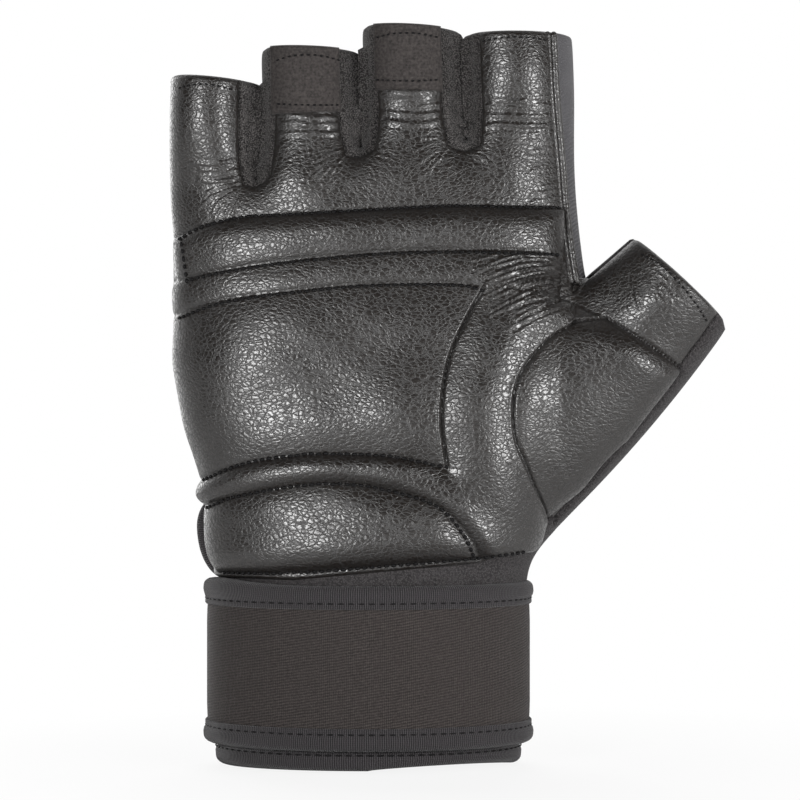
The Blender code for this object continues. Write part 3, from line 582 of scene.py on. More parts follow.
class Finish(Wiring):
    """One material being put together: its tree, its shader and where its patterns are read."""

    def __init__(self, name, roughness, specular=0.5, sheen=0.0):
        self.material = bpy.data.materials.new(name)
        self.material.use_nodes = True
        super().__init__(self.material.node_tree)
        self.shader = self.tree.nodes["Principled BSDF"].inputs
        self.shader["Roughness"].default_value = roughness
        self.shader["Specular IOR Level"].default_value = specular
        self.shader["Sheen Weight"].default_value = sheen
        self.shader["Sheen Roughness"].default_value = 0.45
        self.place = self.add("TexCoord")["Object"]

    def pattern(self, group, **inputs):
        """A group's pattern, read at the piece's own places unless another is given."""
        return self.add("Group", {"Place": self.place, **inputs}, node_tree=group)

    def ribs(self, along, pitch, waver):
        return self.pattern(RIBS, Along=along, Pitch=pitch, Waver=waver)["Height"]

    def axes(self):
        return self.add("SeparateXYZ", {0: self.place})

    def flat(self):
        """Metres along and across the piece, from its own map."""
        return self.add("SeparateXYZ", {0: self.add("UVMap", uv_map="lay")[0]})[:2]

    def colours(self, value, *stops):
        ramp = add_node(self.tree, "ShaderNodeValToRGB", {0: value})
        while len(ramp.color_ramp.elements) < len(stops):
            ramp.color_ramp.elements.new(0.5)
        for element, (position, colour) in zip(ramp.color_ramp.elements, stops):
            element.position = position
            element.color = (*colour, 1)
        return ramp.outputs[0]

    def tinted(self, share, body, colour):
        """A share of one colour mixed into what the body has."""
        return self.add("Mix", {0: share, 6: body, 7: (*colour, 1)}, data_type="RGBA")[2]

    def done(self, colour, height, depth, roughness=None):
        """Joins colour, relief in metres and a changing roughness to the shader."""
        bump = self.add("Bump", {"Strength": 1.0, "Distance": depth, "Height": height})[0]
        for label, socket in (("Base Color", colour), ("Normal", bump), ("Roughness", roughness)):
            if socket is not None:
                self.tree.links.new(socket, self.shader[label])
        return self.material


def leather_finish():
    look = Finish("black_leather", 0.35, 1.0)
    turned = look.add("Mapping", {"Vector": look.place, "Rotation": (0, 0.65, 0), "Scale": (0.8, 1, 1.25)})[0]
    grain = look.pattern(PEBBLES, Place=turned, Cell=0.00120, Crack=0.13)
    # painted shade: the leather's colour is darkened along its seams and tucks, where shade falls in the
    # grooves
    seam_shade = look.add("Attribute", attribute_name="seam_shade")["Fac"]
    body = look.colours(grain["Tone"], (0.25, (0.0092, 0.0070, 0.0058)), (0.75, (0.0150, 0.0122, 0.0106)))
    dark = look.math("MAXIMUM", look.times(grain["Crack"], 0.7), look.times(seam_shade, 0.35))
    rough = look.plus(grain["Crack"], 0.32, look.plus(grain["Tone"], 0.14, 0.230))
    return look.done(look.tinted(dark, body, (0.004, 0.0034, 0.0032)), grain["Height"], 0.000062, rough)


def side_finish():
    look = Finish("side_leather", 0.6, 0.4)
    grain = look.pattern(PEBBLES, Cell=0.0006, Crack=0.25)
    axes = look.axes()
    ribs = look.ribs(look.plus(axes[0], -0.75, axes[2]), 0.00105, 0.9)
    low_down = look.spread(axes[2], 0.172, 0.140)
    height = look.plus(look.times(ribs, low_down), 0.9, look.times(grain["Height"], 0.4))
    body = look.colours(grain["Tone"], (0.2, (0.066, 0.0640, 0.0685)), (0.8, (0.098, 0.0955, 0.1015)))
    gaps = look.times(look.math("SUBTRACT", 1.0, ribs), low_down)
    dark = look.math("MAXIMUM", look.times(grain["Crack"], 0.35), look.times(gaps, 0.75))
    return look.done(look.tinted(dark, body, (0.03, 0.029, 0.031)), height, 0.00016)


def knit_finish(name, loop, low, high, depth, sheen, pit=0.12):
    """Looped cloth. pit is how much of the low colour is left between the loops."""
    look = Finish(name, 0.9, 0.25, sheen)
    knit = look.pattern(LOOPS, Loop=loop)
    body = look.colours(knit["Height"], (0.40, tuple(pit * part for part in low)), (0.72, low), (1.0, high))
    shade = look.times(look.math("SUBTRACT", knit["Tone"], 0.35, clamp=True), 0.6)
    return look.done(look.tinted(shade, body, high), knit["Height"], depth)


def elastic_finish():
    look = Finish("wrap_elastic", 0.85, 0.3, 0.12)
    along, up = look.flat()
    ribs = look.ribs(look.plus(along, 0.16, up), 0.00068, 0.55)
    rows = look.plus(look.ribs(along, 0.00050, 0.6), 0.3, look.times(ribs, 0.45))
    height = look.plus(look.noise(look.place, 2300.0, 3.0), 1.1, look.math("SUBTRACT", rows, 0.3))
    body = look.colours(
        height,
        (0.15, (0.005, 0.0038, 0.0034)), (0.65, (0.033, 0.0272, 0.0256)), (1.0, (0.064, 0.0540, 0.0510)),
    )
    slow = look.times(look.noise(look.place, 60.0, 4.0), 0.35)
    return look.done(look.tinted(slow, body, (0.030, 0.0252, 0.0240)), height, 0.00018)


def jersey_finish():
    look = Finish("binding_jersey", 0.85, 0.3, 0.15)
    along, up = look.flat()
    height = look.plus(look.ribs(up, 0.00045, 0.5), 0.25, look.ribs(along, 0.00052, 0.25))
    body = look.colours(
        height,
        (0.05, (0.007, 0.0062, 0.0068)), (0.7, (0.036, 0.0325, 0.0350)), (1.0, (0.056, 0.0515, 0.0545)),
    )
    return look.done(body, height, 0.00018)


def webbing_finish(name, low, high):
    look = Finish(name, 0.8, 0.35, 0.1)
    axes = look.axes()
    weft = look.times(look.ribs(axes[2], 0.00037, 0.5), 0.6)
    weave = look.plus(look.ribs(axes[0], 0.00033, 0.5), 0.6, weft)
    mixed = look.plus(look.noise(look.place, 1500.0, 4.0), 1.4, look.plus(weave, 0.3, -0.38))
    return look.done(look.colours(mixed, (0.15, low), (0.85, high)), mixed, 0.00009)


def thread_finish():
    look = Finish("black_thread", 0.6, 0.2)
    twist = look.pattern(LOOPS, Loop=0.00025)["Height"]
    body = look.colours(twist, (0.3, (0.0020, 0.0018, 0.0020)), (1.0, (0.0065, 0.0060, 0.0065)))
    return look.done(body, twist, 0.00004)


def hook_finish():
    look = Finish("hook_plastic", 0.4, 0.5)
    slow = look.noise(look.place, 300.0, 2.0)
    body = look.colours(slow, (0.3, (0.018, 0.018, 0.019)), (0.7, (0.030, 0.030, 0.031)))
    return look.done(body, slow, 0.00003)


LEATHER = leather_finish()
SIDE = side_finish()
KNIT = knit_finish("gusset_knit", 0.00036, (0.022, 0.0200, 0.0196), (0.115, 0.108, 0.105), 0.00030, 0.10)
STRETCH = knit_finish(
    "back_stretch", 0.00040, (0.028, 0.0257, 0.0262), (0.058, 0.0537, 0.0550), 0.00014, 0.12, pit=0.5
)
LINING = knit_finish("lining_cloth", 0.00050, (0.026, 0.026, 0.027), (0.050, 0.050, 0.051), 0.00010, 0.1)
PILE = knit_finish("loop_pile", 0.00075, (0.018, 0.017, 0.018), (0.050, 0.048, 0.049), 0.00045, 0.3)
ELASTIC = elastic_finish()
JERSEY = jersey_finish()
WEBBING = webbing_finish("tab_webbing", (0.010, 0.0083, 0.0078), (0.056, 0.0480, 0.0455))
TAPE = webbing_finish("hem_tape", (0.018, 0.017, 0.017), (0.040, 0.037, 0.037))
THREAD = thread_finish()
HOOK = hook_finish()

# ---- The palm, drawn in pixels of the photograph

SEAMS = {
    "a": [(180, 239), (201, 228), (242, 218), (293, 215), (354, 211.5), (415, 208), (456, 206.5),
          (501, 207.5), (559, 208.5)],
    "b": [(187, 281), (217, 274), (252, 268), (293, 262.5), (354, 256.5), (405, 253.5), (462, 252.5),
          (510, 253.5), (557, 255)],
    "c": [(180, 318), (211, 306.5), (248, 298.5), (303, 292), (354, 287), (415, 285), (462, 286), (481, 290)],
    "d": [(204, 480), (247.5, 463), (305, 454.5), (351, 454.5), (394, 457), (445.5, 467)],
    "e": [(481, 290), (465, 320), (450.5, 353), (443.5, 385), (441.5, 425), (445.5, 464)],
    "f": [(207.5, 507.5), (244.5, 494.5), (311, 484.5), (362, 486), (408, 496), (440, 509), (463, 535),
          (474.5, 558)],
    "g": [(542, 516), (526, 489), (516, 460), (508.5, 435), (508.5, 394), (522, 361.5), (552.5, 332),
          (604, 319)],
    "thumb": [(604, 319), (644.5, 343), (679, 368)],
    "hem": [(224.5, 572), (293.5, 572.5), (380, 566), (474.5, 558), (523, 552)],
    "left": [(181, 239), (187, 281)],
}
STITCHED = ("a", "b", "c", "d", "f", "hem", "left")
# the tucked seams, and which side of each line lies lower
TUCKED = {"e": -1, "g": 1, "thumb": -1}
LIP = np.array([(205, 570), (222, 577), (293.5, 580), (379.6, 572), (474, 563), (523, 551), (540, 545)])
PALM_SIDE = [(204, 480), (188, 420), (178, 365), (180, 318)]
ROLL_END = [(561, 200), (559, 262)]
THUMB_EDGE = [(679, 368), (624, 439), (583, 480), (542, 516)]
# each pad: its outline, its height in metres, and the edges that draw it in, with their reach and share
PADS = (
    (("a", "-b"), 0.0011, (("a", 22), ("b", 26), ("left", 14), (ROLL_END, 60))),
    (("b", [(557, 262), (500, 276)], "-c"), 0.0005,
     (("b", 15), ("c", 15), ([(181, 270), (180, 330)], 14), ([(560, 250), (484, 292)], 40))),
    (("c", "e", "-d", PALM_SIDE), 0.0012, (("c", 48), ("d", 42), ("e", 40, 0.4), (PALM_SIDE, 60))),
    (("f", SEAMS["hem"][3::-1], [(213, 560)]), 0.0014,
     (("f", 30), ("hem", 30), ([(208, 500), (213, 560), (224, 576)], 32))),
    (("g", "thumb", THUMB_EDGE), 0.0013, (("g", 38), ("thumb", 26), (THUMB_EDGE, 50))),
    (("d", "-e", [(540, 296)], "-g", [(523, 552)], "-f"), 0.0020,
     (("d", 15), ("f", 15), ("e", 52), ("g", 40, 0.7), (SEAMS["hem"][3:], 14),
      ([(484, 290), (560, 290)], 40))),
)
# the layer of padding under them all
PADDED = (
    "a", ROLL_END, [(556, 300), (604, 319)], "thumb", THUMB_EDGE, "-hem", [(208, 540), (207, 505)], PALM_SIDE,
)
PADDING, PADDING_REACH = 0.0026, 22
LEATHER_WALL = 0.0014
# how deep the seams are drawn in, how high the lip beside a tuck stands, and how far off they reach
SEWN_DIP, TUCK_DIP, TUCK_LIP = 0.00020, 0.0006, 0.00024
SEWN_REACH, TUCK_REACH, CREASE_REACH = 12, 20, 8
# soft mounds of the leather: middle and half sizes in pixels, height in metres
MOUNDS = (
    (206, 205, 30, 26, 0.0007), (300, 178, 38, 26, 0.0008), (402, 170, 40, 26, 0.0009),
    (512, 165, 36, 34, 0.0009), (200, 120, 26, 34, 0.0005), (407, 94, 30, 7, 0.0009),
    (308, 122, 26, 9, 0.0006), (520, 70, 30, 26, 0.0006), (650, 300, 30, 26, 0.0008),
    (505, 285, 34, 18, 0.0010), (265, 345, 60, 46, 0.0007), (405, 418, 48, 46, 0.0016),
)
# slow ripples all over the leather: turns to a pixel, height in metres
RIPPLES = ((0.021, 0.00030), (0.047, 0.00016))
# where the relief is eased off, in the thumb's crotch: middle and half sizes in pixels
THUMB_CROTCH = (590, 304, 20, 17)
CROTCH_EASE = 0.75


def smooth_line(points, step=2.0):
    """A curve through points, as many short steps."""
    points = np.asarray(points, float)
    ends = np.concatenate([[2 * points[0] - points[1]], points, [2 * points[-1] - points[-2]]])
    places = []
    for a, b, c, d in zip(ends[:-3], ends[1:-2], ends[2:-1], ends[3:]):
        count = max(2, int(np.linalg.norm(c - b) / step))
        t = np.linspace(0, 1, count, endpoint=False)[:, None]
        square, cube = 2 * a - 5 * b + 4 * c - d, 3 * b - a - 3 * c + d
        places.append(0.5 * (2 * b + (c - a) * t + square * t**2 + cube * t**3))
    return np.concatenate([*places, points[-1:]])


CURVE = {name: smooth_line(line, 8.0) for name, line in SEAMS.items()}


def edge_line(edge):
    """A named sewn line, backwards if its name has a minus, or a line given by its points."""
    if isinstance(edge, str):
        return CURVE[edge[1:]][::-1] if edge[0] == "-" else CURVE[edge]
    return np.asarray(edge, float)


def line_distance(points, line):
    """Distance in pixels from each point to a polyline, and which side of it the point is on."""
    nearest = np.full(len(points), 1e9)
    side = np.zeros(len(points))
    for start, end in zip(line[:-1], line[1:]):
        along = end - start
        share = np.clip(((points - start) @ along) / max(along @ along, 1e-9), 0, 1)
        gap = points - (start + share[:, None] * along)
        distance = np.hypot(gap[:, 0], gap[:, 1])
        closer = distance < nearest
        nearest = np.where(closer, distance, nearest)
        side = np.where(closer, np.sign(along[0] * gap[:, 1] - along[1] * gap[:, 0]), side)
    return nearest, side


def inside_outline(points, corners):
    """Which points lie inside an outline."""
    inside = np.zeros(len(points), bool)
    for start, end in zip(corners, np.roll(corners, -1, axis=0)):
        spans = (start[1] > points[:, 1]) != (end[1] > points[:, 1])
        rise = end[1] - start[1] if end[1] != start[1] else 1e-9
        crossing = start[0] + (points[:, 1] - start[1]) / rise * (end[0] - start[0])
        inside ^= spans & (points[:, 0] < crossing)
    return np.flatnonzero(inside)


def smoothed(value, low, high):
    """A soft step from nought at low to one at high."""
    share = np.clip((value - low) / (high - low), 0, 1)
    return share * share * (3 - 2 * share)


def bell(value, width):
    """One in the middle, fading out to both sides."""
    return np.exp(-((value / width) ** 2))


def mound(pixels, x, y, wide, tall):
    """One at a pixel, fading out round it."""
    return np.exp(-(((pixels[:, 0] - x) / wide) ** 2) - ((pixels[:, 1] - y) / tall) ** 2)


def crease_fans():
    """Creases that fan out of the web and the finger crotches: points, depth in metres, width in pixels."""
    creases = []

    def crease(start, end, bow, depth, width):
        start, end = np.asarray(start, float), np.asarray(end, float)
        across = np.array([start[1] - end[1], end[0] - start[0]])
        shares = np.linspace(0, 1, 6)[:, None]
        wander = RNG.normal(0, 0.012, (6, 1))
        line = start + (end - start) * shares + across * (bow * 4 * shares * (1 - shares) + wander)
        creases.append((line, depth, width))

    for share in np.linspace(0, 1, 34):
        start = np.array([562, 254]) + np.array([22, 46]) * share + RNG.normal(0, 1.5, 2)
        end = np.array([462, 268]) + np.array([30, 78]) * share + RNG.normal(0, 5, 2)
        low, high = RNG.uniform(0.0, 0.3), RNG.uniform(0.6, 1.0)
        depth = RNG.uniform(0.00012, 0.00030)
        crease(start + (end - start) * low, start + (end - start) * high, 0.07, depth, 1.0)
    for centre, first, last, count, reach in (
        ((352, 150), 118, 172, 12, 66), ((247, 184), 112, 175, 9, 52), ((455, 142), 130, 185, 7, 44),
        ((460, 142), 5, 60, 6, 36), ((362, 150), 20, 75, 5, 34),
    ):
        for angle in np.radians(np.linspace(first, last, count)):
            heading = np.array([math.cos(angle), math.sin(angle)])
            near, far = RNG.uniform(3, 16), reach * RNG.uniform(0.55, 1.0)
            bow, depth = RNG.normal(0.05, 0.03), RNG.uniform(0.00007, 0.00014)
            crease(centre + heading * near, centre + heading * far, bow, depth, 1.2)
    for left, right, heights in (
        (192, 236, (160, 168, 174, 180)), (282, 340, (119, 126, 135)), (380, 440, (103, 107, 112, 120)),
        (484, 556, (99, 104, 110, 116, 126)),
    ):
        for y in heights:
            ends = RNG.uniform(0, 12, 2)
            start, end = (left + ends[0], y + RNG.normal(0, 1.5)), (right - ends[1], y + RNG.normal(0, 2))
            crease(start, end, RNG.normal(0.03, 0.03), RNG.uniform(0.00012, 0.00024), 1.9)
    for y in np.linspace(122, 204, 13):
        start, end = (556, y + RNG.normal(0, 1)), (556 - RNG.uniform(14, 34), y + RNG.uniform(-2, 8))
        crease(start, end, 0.03, RNG.uniform(0.00008, 0.00014), 1.4)
    for _ in range(16):
        start = np.array([608, 288]) + np.array([58, -20]) * RNG.uniform(0, 1)
        start = start + np.array([24, 42]) * RNG.uniform(0, 0.8)
        heading = RNG.uniform(0.1, 1.4)
        end = start + np.array([math.cos(heading), math.sin(heading)]) * RNG.uniform(8, 26)
        crease(start, end, RNG.normal(0.04, 0.05), RNG.uniform(0.00005, 0.00012), 1.3)
    return creases


def around(pixels, line, reach):
    """Which pixels lie near a line, and how far off it and on which side they are."""
    low, high = line.min(axis=0) - reach, line.max(axis=0) + reach
    near = np.flatnonzero(np.all((pixels > low) & (pixels < high), axis=1))
    return near, *line_distance(pixels[near], line)


def palm_relief(form, verts):
    """How far the palm leather stands off the form, and how much painted shade darkens it along its seams and
    tucks.
    """
    pixels = to_pixels(form.places[verts])
    facing = smoothed(-form.normals[verts, 1], 0.05, 0.4)
    relief = np.zeros(len(pixels))
    seam_shade = np.zeros(len(pixels))
    for parts, height, edges in PADS:
        near = inside_outline(pixels, np.concatenate([edge_line(part) for part in parts]))
        swell = np.full(len(near), height)
        for edge, reach, *share in edges:
            distance, _ = line_distance(pixels[near], edge_line(edge))
            swell *= 1 - (share[0] if share else 1) * (1 - np.clip(distance / reach, 0, 1)) ** 2.2
        relief[near] = np.maximum(relief[near], swell)
    outline = np.concatenate([edge_line(part) for part in PADDED])
    near = inside_outline(pixels, outline)
    distance, _ = line_distance(pixels[near], np.concatenate([outline, outline[:1]]))
    relief[near] += PADDING * rounded(distance, PADDING_REACH)
    for *place, height in MOUNDS:
        relief += height * mound(pixels, *place)
    for name in STITCHED:
        near, distance, _ = around(pixels, CURVE[name], SEWN_REACH)
        relief[near] -= SEWN_DIP * bell(distance, 2.2)
        # painted shade along the seam's groove
        seam_shade[near] = np.maximum(seam_shade[near], bell(distance, 1.3))
    for name, low_side in TUCKED.items():
        near, distance, side = around(pixels, CURVE[name], TUCK_REACH)
        across = side * distance * low_side
        relief[near] -= TUCK_DIP * bell(across - 1.4, 1.5)
        relief[near] += TUCK_LIP * bell(across + 1.9, 2.0)
        # painted shade in the shadow gap on the tuck's low side
        seam_shade[near] = np.maximum(seam_shade[near], bell(across - 1.4, 1.2))
    for line, depth, width in crease_fans():
        near, distance, _ = around(pixels, line, CREASE_REACH)
        relief[near] += depth * bell(distance, width)
        relief[near] -= 0.4 * depth * bell(distance - 2.2 * width, 1.1 * width)
    x, y = pixels.T
    for scale, height in RIPPLES:
        phases = RNG.uniform(0, 2 * math.pi, 4)
        ripple = np.sin(x * scale + phases[0] + 1.4 * np.sin(y * scale * 0.8 + phases[1]))
        ripple *= np.sin(y * scale * 1.2 + phases[2] + 1.2 * np.sin(x * scale * 0.7 + phases[3]))
        relief += height * ripple
    return LEATHER_WALL + relief * facing * (1 - CROTCH_EASE * mound(pixels, *THUMB_CROTCH)), seam_shade * facing


def settle(obj, nodes, body="glove"):
    """Says what a finished piece rides on, and hides the solids that it stands for."""
    if body:
        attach(obj, body)
    if nodes:
        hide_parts(*nodes)
    return obj


HEM_REACH, LIP_FADE = 0.75, 60


def hang_hem(form, verts, rim):
    """Draws the lower edge of the palm leather down over the cuff, to the edge that the photograph shows."""
    pixels = to_pixels(form.places[verts])
    above = ROW["hem"] + HEM_REACH - form.row[verts]
    low = (above > 0) & (form.thumb[verts] < 0.02) & (form.normals[verts, 1] < -0.05)
    edge = pixels[low & np.isin(verts, rim)]
    edge = edge[np.argsort(edge[:, 0])]
    drop = np.interp(pixels[:, 0], *LIP.T) - np.interp(pixels[:, 0], *edge.T)
    drop = np.maximum(0, drop) * smoothed(LIP[-1, 0] - pixels[:, 0], 0, LIP_FADE)
    form.places[verts, 2] -= np.where(low, drop * smoothed(above, 0, HEM_REACH) * VIEW_WIDTH / PIXELS, 0)


# the fold of the form under the thumb's pad: its middle and half sizes in pixels, and its depth in metres
FOLD, FOLD_DEPTH = (570, 378, 26, 58), 0.0021
EASE_MIDDLE, EASE_HALVES, EASE_FADES = (570, 400), (52, 88), (30, 36)
EASE_ROUNDS, EASE_STEP = 420, 0.6


def ease_thumb_root(form):
    """Fills and rubs out the fold of the form where the thumb leaves the palm, under the thumb's pad."""
    quads = form.of_panel("palm")
    pixels = to_pixels(form.places)
    in_front = form.normals[:, 1] < 0
    inside = EASE_HALVES - np.abs(pixels - EASE_MIDDLE)
    weight = smoothed(inside[:, 0], 0, EASE_FADES[0]) * smoothed(inside[:, 1], 0, EASE_FADES[1]) * in_front
    form.places[:, 1] -= FOLD_DEPTH * mound(pixels, *FOLD) * in_front
    edges = np.unique(np.sort(edges_of(quads), axis=1), axis=0)
    near, edges = np.unique(edges[weight[edges].max(axis=1) > 0], return_inverse=True)
    edges = edges.reshape(-1, 2)
    edges = np.concatenate([edges, edges[:, ::-1]])
    count = np.bincount(edges[:, 0], minlength=len(near))
    for axis in range(3):
        eased = form.places[near, axis]
        for _ in range(EASE_ROUNDS):
            mean = np.bincount(edges[:, 0], eased[edges[:, 1]], len(near)) / count
            eased += EASE_STEP * weight[near] * (mean - eased)
        form.places[near, axis] = eased
    corners = form.places[quads]
    facing = np.cross(corners[:, 2] - corners[:, 0], corners[:, 3] - corners[:, 1])
    turned = np.stack([sum(np.bincount(quads[:, n], facing[:, axis], len(pixels)) for n in range(4))
                       for axis in range(3)], axis=1)[near]
    turned /= np.linalg.norm(turned, axis=1)[:, None]
    turned = form.normals[near] + (turned - form.normals[near]) * weight[near][:, None]
    form.normals[near] = turned / np.linalg.norm(turned, axis=1)[:, None]


# how far a panel's edge is rounded, and how much of its wall is left at the rim
PALM_EDGE, CLOTH_EDGE, PUFF_EDGE, RIM_LEFT = 0.0014, 0.0012, 0.005, 0.2


def make_palm(form):
    quads = form.of_panel("palm")
    verts = np.unique(quads)
    hang_hem(form, verts, rim_edges(quads))
    outer = np.zeros(len(form.places))
    relief, seam_shade = palm_relief(form, verts)
    outer[verts] = relief * rounded(distance_to_rim(form, quads)[verts], PALM_EDGE, RIM_LEFT)
    obj = shell("palm", form, quads, outer, 0.0, LEATHER)
    # the painted shade along the seams goes onto the mesh, for the leather's finish to darken its colour
    layer = obj.data.attributes.new("seam_shade", "FLOAT", "POINT")
    layer.data.foreach_set("value", np.concatenate([seam_shade, np.zeros(len(seam_shade))]).astype(np.float32))
    settle(obj, ["palm_leather", "knuckle_pad", "roll_pad", "palm_pad", "heel_pad", "thumb_pad"])
    return obj


def make_panel(
    form, name, quads, outer, inner, material, nodes, slot, puff=0.0, reach=CLOTH_EDGE, low=RIM_LEFT
):
    """A closed panel of cloth or tape over some quads of the form, with rounded edges."""
    edge = distance_to_rim(form, quads)
    wall = (outer - inner) * rounded(edge, reach, low) + puff * rounded(edge, PUFF_EDGE)
    obj = shell(name, form, quads, inner + wall, inner, material)
    return settle(obj, nodes)


FINEST, FINE, COARSE = Form(5), Form(4), Form(3)
BEFORE_ALL, PAST_ALL = -1, 99
OFF_THUMB, NO_THUMB = (BEFORE_ALL, 0.1), (BEFORE_ALL, 1e-6)


def rows_between(form, low, high, left=BEFORE_ALL, right=PAST_ALL, thumb=OFF_THUMB, panels=PANELS):
    """The quads of the form whose middle lies between some rows, columns and thumb shares."""
    quads = form.of_panel(*panels)
    row, column, share = (values[quads].mean(axis=1) for values in (form.row, form.column, form.thumb))
    inside = (row > low) & (row < high) & (column >= left) & (column <= right)
    return quads[inside & (share > thumb[0]) & (share < thumb[1])]


# a gusset's least wall, its most, its height where nothing faces it, and its share of the gap that it fills
GUSSET_WALL, GUSSET_MOST, GUSSET_OPEN, GUSSET_SHARE = 0.0009, 0.0034, 0.0014, 0.47
GUSSET_EDGE = 0.004
RAY_START, RAY_REACH = 0.0003, 0.008


def gusset_fill(form, quads):
    """How far the walls of a gusset stand out: until the two walls between the fingers all but touch."""
    tree = BVHTree.FromPolygons(form.places.tolist(), quads.tolist())
    height = np.zeros(len(form.places))
    for vert in np.unique(quads):
        start, aim = Vector(form.places[vert]), Vector(form.normals[vert])
        _, _, _, away = tree.ray_cast(start + aim * RAY_START, aim, RAY_REACH)
        height[vert] = min(GUSSET_MOST, GUSSET_SHARE * (away + RAY_START)) if away else GUSSET_OPEN
    edge = rounded(distance_to_rim(form, quads), GUSSET_EDGE)
    return GUSSET_WALL + np.maximum(0, height - GUSSET_WALL) * edge


# the outer and inner faces of what lies under or over the form, in metres off it
HEM_FACES, LINING_FACES, TAB_FACES = (-0.00035, -0.00115), (-0.00035, -0.00105), (0.00245, 0.00155)
CUFF_OUT, CUFF_IN = -0.00035, -0.00255
# the cuff's upper edge opens out towards the thumb: how far, and between which heights and places across
FLARE, FLARE_UP, FLARE_ACROSS = 0.0026, (0.0432, 0.0456), (0.002, 0.0145)
ease_thumb_root(FINEST)
PALM = make_palm(FINEST)
# the other panels: piece, panel of the form, wall, fullness, finish, slot and solid
CLOTHS = {
    name: make_panel(form, name, form.of_panel(panel), wall, 0.0, material, [node], slot, puff)
    for form, name, panel, wall, puff, material, slot, node in (
        (COARSE, "back_of_hand", "back", 0.0012, 0.0004, STRETCH, "stretch_fabric", "back_panel"),
        (FINE, "side_of_index", "side", 0.0011, 0.0003, SIDE, "ribbed_side", "index_side_panel"),
        (COARSE, "back_of_thumb", "thumb_back", 0.0016, 0.0006, STRETCH, "stretch_fabric",
         "thumb_back_panel"),
    )
}
for number, pair in enumerate(map("_".join, zip(FINGER_NAMES, FINGER_NAMES[1:]))):
    walls = COARSE.of_panel(f"gusset_{number}")
    full = gusset_fill(COARSE, walls)
    make_panel(COARSE, f"gusset_{pair}", walls, full, 0.0, KNIT, [f"fourchette_{pair}"], "knit_mesh")
hems = {
    finger: rows_between(COARSE, STALL_HEM_ROW, PAST_ALL, 3 * number + 1, 3 * number + 3)
    for number, finger in enumerate(FINGER_NAMES)
}
hems["thumb"] = rows_between(COARSE, BEFORE_ALL, PAST_ALL, thumb=(THUMB_HEM_SHARE, PAST_ALL))
for finger, hem in hems.items():
    make_panel(COARSE, f"hem_of_{finger}", hem, *HEM_FACES, TAPE, [f"{finger}_hem_tape"], "hem_tape")
lining = rows_between(
    COARSE, ROW["hem"] + 0.6, ROW["knuckle_line"], 0.6, FRONT_COLUMNS - 0.4, NO_THUMB, ["palm"]
)
make_panel(COARSE, "lining_of_palm", lining, *LINING_FACES, LINING, ["palm_lining"], "lining")
under = rows_between(FINE, BEFORE_ALL, ROW["hem"] + 0.4)
flare = FLARE * (smoothed(FINE.places[:, 2], *FLARE_UP) * smoothed(FINE.places[:, 0], *FLARE_ACROSS))
make_panel(FINE, "cuff_sleeve", under, CUFF_OUT + flare, CUFF_IN, STRETCH, ["cuff"], "stretch_fabric")
TABS = []
for number in (1, 2):
    finger = FINGER_NAMES[number]
    tab = rows_between(FINE, TAB_ROW, PAST_ALL, 3 * number + 1, 3 * number + 3, panels=["palm"])
    TABS.append(make_panel(
        FINE, f"pull_tab_{finger}", tab, *TAB_FACES, WEBBING, [f"{finger}_pull_tab"], "tab_webbing",
        puff=0.0002, reach=0.0007, low=0.35,
    ))

# ---- The wrist wrap, the cuff's rim and the small rolls of cloth

STITCH_ROW = 0.0042
STITCH_LIFT = 0.00062
TAPE_TAIL = 0.0056
BAND_INSET = 0.0012
END_RADIUS = 0.038
PATCH_INSET = 0.0080
SEAM_ANGLE = math.radians(140)
CUFF_MIDDLE = Vector((CUFF_CENTRE[0], CUFF_CENTRE[1], 0)) + MOVE
PEEL_START, PEEL_END = (tuple(CUFF_MIDDLE + Vector((-0.6, 0.8, 0)) * reach) for reach in (0.0220, 0.0275))
# each stretch of the wrap: its ends, its solids, and the bodies and places that it bends between
STRETCHES = {
    "wrap": (
        WRAP_START, SEAM_ANGLE, ("wrap_front", "strap_back"), ("glove", "strap_back", PEEL_START, PEEL_END),
    ),
    "wrap_tab": (
        SEAM_ANGLE, TAB_END, ("strap_tab",),
        ("strap_back", "strap_tab", (-0.0285, 0.03, 0.025), (-0.0200, 0.03, 0.025)),
    ),
}
# the two taped edges of the wrap: name, height, and which way lies inside
TAPED = (("bottom", WRAP_BOTTOM, 1), ("top", WRAP_TOP, -1))


def wrap_layer(angle):
    """How far the inside of the wrap stands off the cuff: it climbs over the patches at the back."""
    turned = min(1.0, max(0.0, (STRAP_HINGE - angle) / (STRAP_HINGE - TAB_HINGE)))
    return WRAP_STANDOFF + WRAP_SPIRAL * turned * turned * (3 - 2 * turned)


def ring_place(angle, offset, z):
    """A place round the wrist, some metres off the cuff."""
    x = CUFF_MIDDLE.x + (CUFF_WIDTH / 2 + offset) * math.cos(angle)
    y = CUFF_MIDDLE.y + (CUFF_DEPTH / 2 + offset) * math.sin(angle)
    return (x, y, z)


def ring_loop(angle, section):
    """A section of (metres off the cuff, height), set up at an angle round the wrist."""
    return [ring_place(angle, offset, z) for offset, z in section]


def angles_between(start, end, step=1.5):
    return np.linspace(start, end, max(2, round(math.degrees(abs(end - start)) / step)) + 1)


def half_round(middle, half, count, low, deep):
    """The round of a fold, from inside to outside, as (offset, depth)."""
    turns = np.linspace(math.pi, 0, count)
    return [(middle + half * math.cos(turn), low + deep - deep * math.sin(turn)) for turn in turns]


